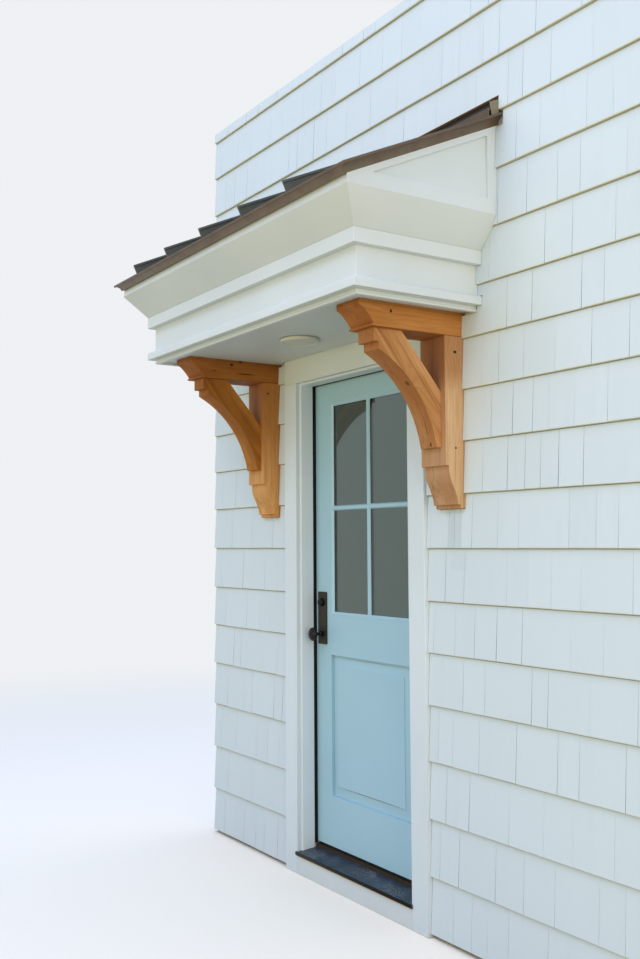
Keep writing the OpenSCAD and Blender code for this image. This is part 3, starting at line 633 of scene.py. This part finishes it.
RUBBER = Even("black_rubber", srgb(13, 12, 11), srgb(34, 33, 31), (60, 3, 0.5), (0.55, 0.2), 0.0002,
              sheen=0.15)
DIFFUSER = Even("milky_plastic", srgb(214, 214, 206), srgb(200, 200, 192), (30, 2, 0.5), (0.3, 0.1), 0.0001)
PLASTER = Even("rolled_plaster", srgb(226, 224, 216), srgb(214, 212, 205), (1.7, 2, 0.5), (0.6, 0.0), 0.0005,
               0.4, (0.3, 0.7), (260, 3, 0.6))
SAWN = Even("sawn_timber", srgb(204, 172, 124), srgb(158, 120, 76), (1, 4, 0.6), (0.75, 0.0), 0.0008, 1.0,
            (0.35, 0.7), stretch=Axis.ALONG.stretch(60, 3))
BRONZE = Even("rubbed_bronze", srgb(50, 44, 35), srgb(84, 64, 46), (38, 4, 0.6), (0.34, 0.18), 0.0001, 0.5,
              (0.5, 0.85), (900, 2, 0.5), metallic=0.2, sheen=0.35)
KNOB_BRONZE = replace(BRONZE, name="knob_bronze", colour=srgb(12, 11, 10), shade=srgb(30, 24, 20),
                      roughness=(0.08, 0.18), sheen=0.24)


def shade(bm: Shape, flatter: float = 20) -> None:
    """Lets light run smoothly over edges that are flatter than an angle, in degrees."""
    for face in bm.faces:
        face.smooth = True
    for edge in bm.edges:
        edge.smooth = len(edge.link_faces) == 2 and edge.calc_face_angle(0) < math.radians(flatter)


def piece(bm: Shape, name: str) -> bpy.types.Object:
    """Makes an object at the origin out of a shape.

    Args:
        bm: The shape, which is freed.
        name: The object's name.

    Returns:
        The object.
    """
    mesh = bpy.data.meshes.new(name)
    bm.to_mesh(mesh)
    bm.free()
    made = bpy.data.objects.new(name, mesh)
    bpy.context.scene.collection.objects.link(made)
    return made


def painted(finish: Material, *nodes: str) -> None:
    """Gives CAD nodes that stay in view their finish.

    Args:
        finish: The material.
        nodes: The CAD nodes.
    """
    for node in nodes:
        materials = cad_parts[node].data.materials
        materials.clear()
        materials.append(finish)
        LOG.info("%s: finished as packed", node)


def dress(made: bpy.types.Object, finish: Material, slot: str, body: str, *nodes: str) -> None:
    """Gives a piece its finish and its place among the bodies.

    Args:
        made: The piece.
        finish: Its material.
        slot: The record's slot for that finish; not used.
        body: The body that carries it.
        nodes: The CAD nodes that it stands for.
    """
    made.data.materials.append(finish)
    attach(made, body)
    if nodes:
        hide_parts(*nodes)
    LOG.info("%s: %d faces on body %s", made.name, len(made.data.polygons), body)


def eased(width: float, finish: Material, slot: str, *nodes: str, body: str = "wall", segments: int = 2,
          plain: bool = False) -> None:
    """Stands copies in for CAD nodes, with their doubles merged, flat faces made whole and sharp edges eased.

    Args:
        width: Width of the easing, in metres.
        finish: The copies' material.
        slot: The record's slot for it.
        nodes: The CAD nodes.
        body: The body that carries them.
        segments: Facets of the easing.
        plain: Whether faces with notches are cut into plain ones first.
    """
    for node in nodes:
        bm = bmesh.new()
        bm.from_mesh(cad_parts[node].data)
        bmesh.ops.remove_doubles(bm, verts=bm.verts, dist=WELD_REACH)
        bmesh.ops.dissolve_limit(bm, angle_limit=FLAT_ANGLE, verts=bm.verts, edges=bm.edges,
                                 use_dissolve_boundaries=False)
        if plain:
            bmesh.ops.connect_verts_concave(bm, faces=bm.faces)
        edges = [e for e in bm.edges if len(e.link_faces) == 2 and e.calc_face_angle(0) > SHARP_ANGLE]
        bmesh.ops.bevel(bm, geom=edges, offset=width, affect="EDGES", segments=segments,
                        profile=0.5, material=-1, clamp_overlap=True)
        shade(bm)
        dress(piece(bm, node + "_eased"), finish, slot, body, node)


def slab(bm: Shape, low: Vec, high: Vec) -> list[bmesh.types.BMVert]:
    """Adds a block between two corners.

    Args:
        bm: The shape that it joins.
        low: The lowest corner.
        high: The highest corner.

    Returns:
        The block's corners.
    """
    size = Vector(high) - Vector(low)
    matrix = Matrix.Translation((Vector(low) + Vector(high)) / 2) @ Matrix.Diagonal((*size, 1))
    return bmesh.ops.create_cube(bm, size=1, matrix=matrix)["verts"]


@dataclass
class ShingledWall:
    """Separate shingles in courses, cut round the doorway, the canopy and the brackets."""

    paint: Material
    exposures: tuple[float, ...] = (
        0.207, 0.209, 0.211, 0.206, 0.193, 0.192, 0.197, 0.198, 0.190, 0.187, 0.185, 0.181, 0.192, 0.201,
        0.202, 0.197, 0.198, 0.192)
    least_exposure: float = 0.02
    butt: float = 0.0215
    tip: float = 0.0098
    thickness: float = 0.008
    widths: Pair = (0.070, 0.20)
    width_shares: Pair = (0.6, 1.0)
    width_start: float = 0.4
    tries: int = 12
    gaps: tuple[float, ...] = (0.0006, 0.0009, 0.0015, 0.0025, 0.0039)
    gap_above: float = 0.30
    stagger: float = 0.030
    end_piece: float = 0.02
    butt_drift: float = 0.0012
    proud: Pair = (-0.0004, 0.0002)
    underlay_gap: float = 0.0002
    ease: float = 0.0004
    butt_ease: float = 0.0022
    clearance: float = 0.001
    cut_depth: Pair = (0.1, 0.05)
    lap: float = 0.002
    rake_depth: float = 0.0475
    metal: float = 0.0022
    square: float = -0.9
    slanted: float = -0.3
    seed: int = 31

    def courses(self) -> list[Pair]:
        """Works out the courses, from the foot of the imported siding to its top.

        Returns:
            The lower and upper edge of each course.
        """
        low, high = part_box("siding_left")
        edges = [low.z + sum(self.exposures[:i]) for i in range(len(self.exposures) + 1)]
        edges = [z for z in edges if z < high.z - self.least_exposure] + [high.z]
        return list(zip(edges, edges[1:]))

    def joints(self, rng: random.Random, left: float, right: float, below: list[float]) -> list[float]:
        """Spreads the joints of one course, away from those of the course under it.

        Args:
            rng: Draws the widths.
            left: Where the course starts.
            right: Where it ends.
            below: The joints of the course under it.

        Returns:
            The joints from left to right, ends included.
        """
        places = [left]
        narrow = self.widths[0]
        while right - places[-1] > self.widths[1]:
            for _ in range(self.tries):
                step = rng.choice(self.width_shares) * rng.uniform(*self.widths)
                step += self.width_start * narrow
                place = places[-1] + max(step, narrow)
                if all(abs(place - other) > self.stagger for other in below):
                    break
            if right - place < narrow:
                break
            places.append(place)
        return places + [right]

    def wedge(self, bm: Shape, across: Pair, up: Pair, front: Pair, back: Pair) -> list:
        """Adds a board that is thick at its lower edge.

        Args:
            bm: The shape that it joins.
            across: Its left and right edge.
            up: Its lower and upper edge.
            front: How far its face lies before the wall, below and above.
            back: The same for its back.

        Returns:
            Its corners.
        """
        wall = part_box("wall_left")[0].y
        corners = slab(bm, (across[0], wall - front[0], up[0]), (across[1], wall - back[0], up[1]))
        middle = wall - (front[0] + back[0]) / 2
        for corner in corners:
            if corner.co.z > sum(up) / 2:
                corner.co.y = wall - (front[1] if corner.co.y < middle else back[1])
        return corners

    def cutters(self) -> list[bpy.types.Object]:
        """Blocks for what the siding is cut round.

        Returns:
            The blocks, as objects.
        """
        gap = self.clearance
        wall, cheek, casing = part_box("wall_left")[0].y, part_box("cheek_right")[1].x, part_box("header_board")[1]
        crown, bed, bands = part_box("crown"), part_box("bed_moulding")[0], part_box("fascia_band")
        frieze, low_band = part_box("frieze")[1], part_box("lower_band")
        rake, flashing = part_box("rake_trims")[1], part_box("wall_flashing")[1]
        shapes = [
            (casing.x, -self.cut_depth[0], casing.z, 0.0),
            (frieze.x, bed.z, bands[1].z, 0.0),
            (low_band[1].x, low_band[0].z, low_band[1].z, 0.0),
            (bands[1].x, bands[0].z, bands[1].z, 0.0),
            (crown[1].x, crown[0].z, crown[1].z, crown[1].x - bands[1].x),
            (cheek, crown[1].z - self.lap, flashing.z - gap, 0.0),
            (rake.x, rake.z - self.rake_depth, rake.z + self.metal, 0.0),
            (flashing.x, rake.z - self.rake_depth, flashing.z, 0.0)]
        blocks = [(-x - gap, x + gap, low - gap, high + gap, narrow) for x, low, high, narrow in shapes]
        for side in ("left", "right"):
            low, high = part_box(f"bracket_{side}_post")
            blocks.append((low.x - gap, high.x + gap, low.z - gap, bed.z + gap, 0.0))
        made = []
        for left, right, low, high, narrow in blocks:
            bm = bmesh.new()
            front, back = wall - self.cut_depth[0], wall + self.cut_depth[1]
            for corner in slab(bm, (left, front, low), (right, back, high)):
                if narrow and corner.co.z < (low + high) / 2:
                    corner.co.x -= math.copysign(narrow, corner.co.x)
            bmesh.ops.recalc_face_normals(bm, faces=bm.faces)
            made.append(piece(bm, "cutter"))
        return made

    def course(self, rng: random.Random, places: list[float], up: Pair) -> Shape:
        """Makes one course of shingles on their underlay.

        Args:
            rng: Draws how each shingle differs.
            places: The joints.
            up: The course's lower and upper edge.

        Returns:
            The course.
        """
        bm = bmesh.new()
        tone, edge, top = (bm.faces.layers.float.new(name) for name in ("tone", "edge", "top"))
        share = (up[1] - up[0]) / max(self.exposures)
        face = (self.butt, self.butt - (self.butt - self.tip) * share)
        back = tuple(depth - self.thickness for depth in face)
        for left, right in zip(places, places[1:]):
            gap = rng.choice(self.gaps)
            start = left + (gap / 2 if left > places[0] else 0)
            end = right - (gap / 2 if right < places[-1] else 0)
            drift = rng.uniform(0, self.butt_drift)
            proud = rng.uniform(*self.proud)
            corners = self.wedge(bm, (start, end), (up[0] + drift, up[1]),
                                 (face[0] + proud, face[1] + proud), back)
            for corner in corners:
                if corner.co.z > sum(up) / 2:
                    joint, side = (left, start) if corner.co.x < (left + right) / 2 else (right, end)
                    corner.co.x = joint + (side - joint) * self.gap_above
            bm.normal_update()
            level = rng.random()
            faces = {f for corner in corners for f in corner.link_faces}
            for f in faces:
                f[tone] = level
            front = [e for f in faces if f.normal.y < self.square for e in f.edges]
            lower = [e for e in front if all(v.co.z < sum(up) / 2 for v in e.verts)]
            for edges, width in ((lower, self.butt_ease), ([e for e in front if e not in lower], self.ease)):
                bmesh.ops.bevel(bm, geom=[e for e in edges if e.is_valid], offset=width, affect="EDGES",
                                segments=1, profile=0.5, material=-1, clamp_overlap=True)
        under = tuple(depth - self.underlay_gap for depth in back)
        self.wedge(bm, (places[0], places[-1]), up, under, (0.0, 0.0))
        bm.normal_update()
        covered = up[1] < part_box("siding_left")[1].z - self.clearance
        for f in bm.faces:
            # top: height of the butt above, for the painted shadow under it
            f[top] = up[1] if covered else up[1] + 1
            # edge: -1 on faces that look down, for painted shade; 1 on slanted lower-edge faces, for a painted
            # highlight
            if f.normal.z < self.slanted:
                f[edge] = -1.0 if f.normal.z < self.square else 1.0
        return bm

    def build(self) -> None:
        """Makes the three areas of siding, each in place of its CAD node."""
        rng = random.Random(self.seed)
        left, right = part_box("siding_left")[0].x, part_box("siding_right")[1].x
        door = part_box("header_board")[1].x + self.clearance / 2
        spans = {"siding_left": (left, -door), "siding_over_door": (-door, door),
                 "siding_right": (door, right)}
        areas = {node: bmesh.new() for node in spans}
        cutters = self.cutters()
        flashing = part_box("wall_flashing")[1].z
        places: list[float] = []
        for up in self.courses():
            places = self.joints(rng, left, right, places)
            for node, (start, end) in spans.items():
                if node == "siding_over_door" and up[1] < flashing:
                    continue
                inner = [x for x in places if start + self.end_piece < x < end - self.end_piece]
                made = piece(self.course(rng, [start, *inner, end], up), "course")
                for cutter in cutters:
                    cut = made.modifiers.new("cut", "BOOLEAN")
                    cut.object = cutter
                    cut.solver = "EXACT"
                graph = bpy.context.evaluated_depsgraph_get()
                areas[node].from_mesh(made.evaluated_get(graph).data)
                bpy.data.objects.remove(made)
        for node, area in areas.items():
            shade(area)
            dress(piece(area, node.replace("siding", "shingles")), self.paint, "shingles", "wall", node)
        for cutter in cutters:
            bpy.data.objects.remove(cutter)


@dataclass
class Surround:
    """The wall itself and the boards round the doorway."""

    trim: Material
    upright: Material
    ease: float = 0.0022
    sill_ease: float = 0.0012

    def build(self) -> None:
        """Eases the boards and finishes the wall, the foundation and the sill."""
        painted(Concrete().material(), "foundation")
        painted(PLASTER.material(), "wall_left", "wall_right", "wall_over_door")
        eased(self.ease, self.upright, "trim_paint", "casing_left", "casing_right")
        eased(self.ease, self.trim, "trim_paint", "header_board", "threshold_skirt", "inside_casing")
        eased(self.ease / 2, self.upright, "trim_paint", "door_frame")
        painted(RUBBER.material(), "weatherstrip")
        eased(self.sill_ease, Slate().material(), "slate_metal", "threshold")


@dataclass
class Door:
    """The leaf with its panel, glazing and furniture.

    The moulding is given by the width and the rise of its steps, from its outer edge inwards.
    """

    moulding: tuple[Pair, ...] = ((0.0012, -0.0014), (0.0016, 0.0014), (0.0030, -0.0012), (0.0030, -0.0028),
                                  (0.0026, -0.0040), (0.0012, -0.0035))
    moulding_skin: float = 0.002
    bevel: float = 0.047
    step: float = 0.0016
    step_root: float = 0.0005
    seam_and_shadow_depth: float = 0.012
    leaf_ease: float = 0.0014
    panel_ease: float = 0.0012
    part_ease: float = 0.0008
    hinge_ease: float = 0.0006
    knob_ease: float = 0.0005

    def paint(self) -> Material:
        """Mixes the leaf's paint, with a hairline joint and painted shadow along the foot of the field, and two
        lines of painted shadow along the moulding at the top of the panel.

        Returns:
            The material.
        """
        low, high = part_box("door_panel")
        # the first row is a hairline joint with the painted shadow under the field's step; the other two are
        # painted shadow along the top moulding
        seams_and_shadows = tuple(Mark(((low.x + high.x) / 2, low.y, z), (reach, self.seam_and_shadow_depth, half), 0.0, strength)
                      for z, reach, half, strength in (
                          (low.z + self.bevel, 0.25, 0.0028, 0.8), (high.z - 0.0010, 0.31, 0.0016, 0.55),
                          (high.z - 0.0090, 0.30, 0.0026, 0.8)))
        return Paint("door_paint", srgb(165, 200, 214), srgb(158, 194, 210), 0.36, Axis.UP, 0.06,
                     seams_and_shadows=seams_and_shadows).material()

    def panel_moulding(self, paint: Material) -> None:
        """Lays a mitred moulding round the lower panel and a small step round its field, on both faces.

        Args:
            paint: The leaf's paint.
        """
        low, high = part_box("door_panel")
        leaf_low, leaf_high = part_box("door_leaf")
        bm = bmesh.new()
        middle = (low + high) / 2
        size = high - low
        for face_y, way in ((leaf_low.y, 1), (leaf_high.y, -1)):
            turn = Matrix.Rotation(way * math.pi / 2, 4, "X")
            matrix = (Matrix.Translation((middle.x, face_y, middle.z)) @ turn
                      @ Matrix.Diagonal((size.x, size.z, 1, 1)))
            made = bmesh.ops.create_grid(bm, x_segments=1, y_segments=1, size=0.5, matrix=matrix)
            field = made["verts"][0].link_faces[0]
            rings = []
            for width, rise in self.moulding:
                rings += bmesh.ops.inset_region(bm, faces=[field], thickness=width, depth=rise,
                                                use_even_offset=True)["faces"]
            bmesh.ops.delete(bm, geom=[field], context="FACES_ONLY")
            bmesh.ops.solidify(bm, geom=rings, thickness=self.moulding_skin)
        for face_y, way in ((low.y, -1), (high.y, 1)):
            root, top = face_y - way * self.step_root, face_y + way * self.step
            slab(bm, (low.x + self.bevel, min(root, top), low.z + self.bevel),
                 (high.x - self.bevel, max(root, top), high.z - self.bevel))
        shade(bm, 35)
        dress(piece(bm, "panel_moulding"), paint, "door_paint", "door")

    def build(self) -> None:
        """Finishes every piece of the door."""
        paint, bronze, knob = self.paint(), BRONZE.material(), KNOB_BRONZE.material()
        eased(self.leaf_ease, paint, "door_paint", "door_leaf", body="door")
        eased(self.panel_ease, paint, "door_paint", "door_panel", body="door")
        eased(self.part_ease, paint, "door_paint", "glazing_bars", body="door", plain=True)
        self.panel_moulding(paint)
        painted(Glass().material(), "door_glass")
        painted(replace(RUBBER, name="sweep_rubber").material(), "door_sweep")
        eased(self.part_ease, bronze, "dark_bronze", "handle_plates", "hinges_on_door", body="door")
        eased(self.hinge_ease, bronze, "dark_bronze", "hinges_on_frame")
        eased(self.part_ease, knob, "dark_bronze", "deadbolt", body="door")
        eased(self.knob_ease, knob, "dark_bronze", "door_knob", body="knob")


@dataclass
class Canopy:
    """The boxed-in canopy: bands, crown, cheeks, soffit and its light.

    The light's rim is given by how far its inner lip, its flat and its round lie inside the edge.
    """

    trim: Material
    ease: float = 0.0020
    light_recess: float = 0.002
    light_rim: Vec = (0.013, 0.011, 0.004)
    light_shadow_gap: float = 0.004
    light_neck: float = 0.010
    light_steps: int = 72

    def light(self) -> None:
        """Turns the flat light: a thin dark gap under the soffit, then the rim and the diffuser."""
        low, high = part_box("soffit_light")
        centre = (low + high) / 2
        r = (high.x - low.x) / 2
        lip, flat, rounding = self.light_rim
        face, under, neck = low.z + self.light_recess, high.z - self.light_shadow_gap, r - self.light_neck
        outline = [(0.0, face), (r - lip, face), (r - flat, low.z), (r - rounding, low.z),
                   (r, low.z + rounding), (r, under), (neck, under), (neck, high.z), (0.0, high.z)]
        bm = bmesh.new()
        verts = [bm.verts.new((centre.x + x, centre.y, z)) for x, z in outline]
        edges = [bm.edges.new(pair) for pair in zip(verts, verts[1:])]
        bmesh.ops.spin(bm, geom=verts + edges, cent=centre, axis=(0, 0, 1), angle=math.tau,
                       steps=self.light_steps, use_merge=True, use_normal_flip=False)
        bmesh.ops.remove_doubles(bm, verts=bm.verts, dist=WELD_REACH / 10)
        bmesh.ops.recalc_face_normals(bm, faces=bm.faces)
        shade(bm, 35)
        dress(piece(bm, "flat_light"), DIFFUSER.material(), "light_plastic", "wall", "soffit_light")

    def build(self) -> None:
        """Eases the canopy's boards and finishes what they hide."""
        eased(self.ease, self.trim, "trim_paint", "bed_moulding", "lower_band", "frieze", "fascia_band",
              "crown", "eave_board", "cheek_left", "cheek_right")
        painted(self.trim, "soffit")
        painted(SAWN.material(), "canopy_frame", "roof_deck")
        self.light()


@dataclass
class Roof:
    """The standing-seam roof with its edge trims and flashing."""

    fold: float = 0.0007
    trim_fold: float = 0.0010
    flashing_fold: float = 0.0005

    def build(self) -> None:
        """Finishes the metal and eases its folds."""
        sheet = CoatedMetal("roof_sheet", srgb(92, 96, 93), srgb(82, 85, 83)).material()
        edge = RakeMetal("roof_edge", srgb(114, 92, 74), srgb(98, 80, 64)).material()
        flashing = FlashingMetal("flashing_metal", srgb(90, 70, 56), srgb(76, 60, 48)).material()
        eased(self.fold, sheet, "bronze_metal", "roof_metal", segments=1)
        eased(self.trim_fold, edge, "bronze_metal", "eave_trim", "rake_trims")
        eased(self.flashing_fold, flashing, "bronze_metal", "wall_flashing", segments=1)


@dataclass
class Bracket:
    """One cedar bracket: post, beam and curved brace, each cut from another part of the log."""

    side: str
    timbers: dict[str, Cedar]
    # strength of the painted shade on the fronts and curved faces of its timbers
    sawn: float
    ease: float = 0.0028
    pith: Pair = (0.06, 0.12)
    pith_step: float = 0.03
    left_step: float = 0.05

    def build(self) -> None:
        """Eases the three timbers and runs each one's grain along it."""
        for index, (member, timber) in enumerate(self.timbers.items()):
            node = f"bracket_{self.side}_{member}"
            low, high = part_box(node)
            shift = self.pith_step * index + (self.left_step if self.side == "left" else 0.0)
            cedar = replace(timber, name=f"cedar_{self.side}_{member}", centre=tuple((low + high) / 2),
                            pith=(self.pith[0] + shift, self.pith[1] - shift), sawn=self.sawn)
            eased(self.ease, cedar.material(), "cedar", node)


BRACE_LEAN = math.radians(37.6)
# for each post, the last two values are the strength of the painted shade towards the top and its heights
RIGHT_TIMBERS = {
    "post": Cedar(0.0, srgb(222, 186, 146), srgb(206, 162, 116), (
        Mark((0.718, -0.110, 2.137), (0.012, 0.009, 0.006)),
        Mark((0.718, -0.111, 1.789), (0.008, 0.005, 0.004)),
        Mark((0.718, -0.114, 1.74), (0.004, 0.0012, 0.11), 0.0, 0.5)), 0.5, (1.98, 2.08)),
    "beam": Cedar(math.pi / 2, srgb(200, 139, 77), srgb(178, 115, 55), (
        Mark((0.718, -0.397, 2.253), (0.008, 0.006, 0.007)),)),
    "brace": Cedar(BRACE_LEAN, srgb(212, 160, 108), srgb(186, 130, 76), (
        Mark((0.668, -0.289, 2.015), (0.013, 0.010, 0.013), 6.0, 0.6),
        Mark((0.659, -0.2375, 1.939), (0.0016, 0.007, 0.058), 0.0, 0.7, math.radians(30.7)),
        Mark((0.658, -0.197, 1.855), (0.0016, 0.007, 0.040), 0.0, 0.7, math.radians(18.4)),
        Mark((0.662, -0.181, 1.802), (0.006, 0.006, 0.010), 0.0, 0.8))),
}
LEFT_TIMBERS = {
    "post": Cedar(0.0, srgb(232, 176, 112), srgb(206, 146, 82), (
        Mark((-0.578, -0.134, 2.145), (0.008, 0.006, 0.006)),
        Mark((-0.578, -0.114, 1.73), (0.004, 0.0012, 0.10), 0.0, 0.6)), 0.6, (1.62, 2.05)),
    "beam": Cedar(math.pi / 2, srgb(178, 112, 48), srgb(148, 88, 32), (
        Mark((-0.578, -0.325, 2.262), (0.008, 0.010, 0.007)),
        Mark((-0.578, -0.278, 2.280), (0.008, 0.012, 0.005)),
        Mark((-0.578, -0.251, 2.2248), (0.006, 0.055, 0.0028), 0.0),
        Mark((-0.578, -0.413, 2.229), (0.006, 0.014, 0.0024), 0.0))),
    "brace": Cedar(BRACE_LEAN, srgb(187, 123, 48), srgb(153, 93, 29)),
}


@dataclass(frozen=True)
class Lamp:
    """A soft lamp: its place, the point that it faces, its two sides, its power and its colour."""

    name: str
    place: Vec
    aim: Vec
    size: Pair
    watts: float
    colour: Vec

    def hang(self) -> None:
        """Hangs the lamp, out of sight of the camera."""
        data = bpy.data.lights.new(self.name, "AREA")
        data.shape = "RECTANGLE"
        data.size, data.size_y = self.size
        data.energy = self.watts
        data.color = self.colour
        hung = bpy.data.objects.new(self.name, data)
        way = Vector(self.aim) - Vector(self.place)
        hung.matrix_world = Matrix.Translation(self.place) @ way.to_track_quat("-Z", "Y").to_matrix().to_4x4()
        hung.visible_camera = hung.visible_transmission = False
        bpy.context.scene.collection.objects.link(hung)


LAMPS = (
    Lamp("garden", (0.6, -9.0, 1.5), (0.2, 0.0, 1.4), (8.0, 2.6), 208.0, (1.0, 0.84, 0.32)),
    Lamp("sky_high", (1.0, -4.0, 8.0), (0.2, 0.0, 2.0), (6.0, 6.0), 256.0, (0.77, 0.81, 1.0)),
    Lamp("sky_side", (7.2, -1.6, 2.2), (0.9, -0.3, 2.4), (4.0, 3.5), 165.0, (1.0, 0.83, 0.52)),
    Lamp("room", (0.17, 5.0, 2.4), (0.17, 0.0, 1.5), (5.0, 3.0), 90.0, (1.0, 0.88, 0.66)),
)


@dataclass
class Studio:
    """A pale floor, soft lamps and the camera."""

    eye: Vec = (3.572, -2.558, 1.449)
    yaw: float = math.radians(56.86)
    pitch: float = math.radians(3.52)
    roll: float = math.radians(-0.32)
    focal_pixels: float = 1042.0
    image_height: int = 959
    sensor: float = 36.0
    sight: float = 200.0
    pale: Colour = (0.86, 0.88, 0.90, 1.0)
    floor_size: float = 60.0
    floor_reach: Pair = (2.5, 9.0)
    floor_seen: Colour = (0.99, 0.90, 0.78, 1.0)
    floor_near: Colour = (0.13, 0.13, 0.12, 1.0)
    floor_bounce: Colour = (0.43, 0.38, 0.23, 1.0)
    near_reach: Pair = (0.9, 2.2)
    sky: Colour = (0.81, 1.03, 1.45, 1.0)
    sky_level: float = 0.72

    def camera(self) -> None:
        """Stands the camera where the photograph was taken from."""
        data = bpy.data.cameras.new("camera")
        data.sensor_fit = "VERTICAL"
        data.sensor_height = self.sensor
        data.lens = self.focal_pixels * self.sensor / self.image_height
        data.clip_end = self.sight
        eye = bpy.data.objects.new("camera", data)
        turn = (Matrix.Rotation(self.yaw, 4, "Z") @ Matrix.Rotation(math.pi / 2 + self.pitch, 4, "X")
                @ Matrix.Rotation(self.roll, 4, "Z"))
        eye.matrix_world = Matrix.Translation(self.eye) @ turn
        bpy.context.scene.collection.objects.link(eye)
        bpy.context.scene.camera = eye

    @staticmethod
    def seen(tree: Tree) -> Wire:
        """1 for rays that see a surface straight, in a mirror or through glass, else 0.

        Args:
            tree: The nodes that need it.

        Returns:
            The value.
        """
        path = tree.node("ShaderNodeLightPath")
        rays = [Wire(tree, path.outputs[f"Is {kind} Ray"]) for kind in ("Camera", "Glossy", "Transmission")]
        return rays[0].maths("MAXIMUM", rays[1].maths("MAXIMUM", rays[2]))

    def floor(self) -> None:
        """Lays a pale floor that keeps the shadow, melts into the backdrop and throws warm light up."""
        bm = bmesh.new()
        bmesh.ops.create_grid(bm, x_segments=1, y_segments=1, size=self.floor_size)
        ground = piece(bm, "floor")
        tree = Tree("pale_floor")
        away = tree.length(tree.where)
        bounced = tree.blend(away.fade(*self.near_reach), self.floor_near, self.floor_bounce)
        shown, bounce = (tree.wire("ShaderNodeBsdfDiffuse", {"Color": colour})
                         for colour in (self.floor_seen, bounced))
        melted = tree.either(away.fade(*self.floor_reach), shown, tree.wire("ShaderNodeBsdfTransparent"))
        mixed = tree.either(self.seen(tree), bounce, melted)
        tree.node("ShaderNodeOutputMaterial", {"Surface": mixed})
        ground.data.materials.append(tree.material)

    def world(self) -> None:
        """Gives a pale backdrop and even sky light."""
        world = bpy.data.worlds.new("studio")
        bpy.context.scene.world = world
        tree = Tree("studio", world=world)
        sky = tree.wire("ShaderNodeBackground", {"Color": self.sky, "Strength": self.sky_level})
        backdrop = tree.wire("ShaderNodeBackground", {"Color": self.pale})
        tree.node("ShaderNodeOutputWorld", {"Surface": tree.either(self.seen(tree), sky, backdrop)})

    def build(self) -> None:
        """Sets up the floor, the light and the camera."""
        self.floor()
        self.world()
        for lamp in LAMPS:
            lamp.hang()
        self.camera()
        bpy.context.scene.view_settings.view_transform = "Standard"


def main() -> None:
    """Builds the looks round the frame, from the wall out to the brackets."""
    logging.basicConfig(level=logging.INFO, format="%(message)s")
    trim = Paint("trim_paint", srgb(216, 222, 224), srgb(206, 213, 216), soiled=0.12).material()
    upright = Paint("upright_trim_paint", srgb(219, 227, 232), srgb(209, 218, 224), run=Axis.UP,
                    soiled=0.12).material()
    for assembly in (ShingledWall(ShinglePaint().material()), Surround(trim, upright), Door(), Canopy(trim),
                     Roof(), Bracket("left", LEFT_TIMBERS, 0.08), Bracket("right", RIGHT_TIMBERS, 0.42),
                     Studio()):
        assembly.build()


if __name__ == "__main__":
    main()
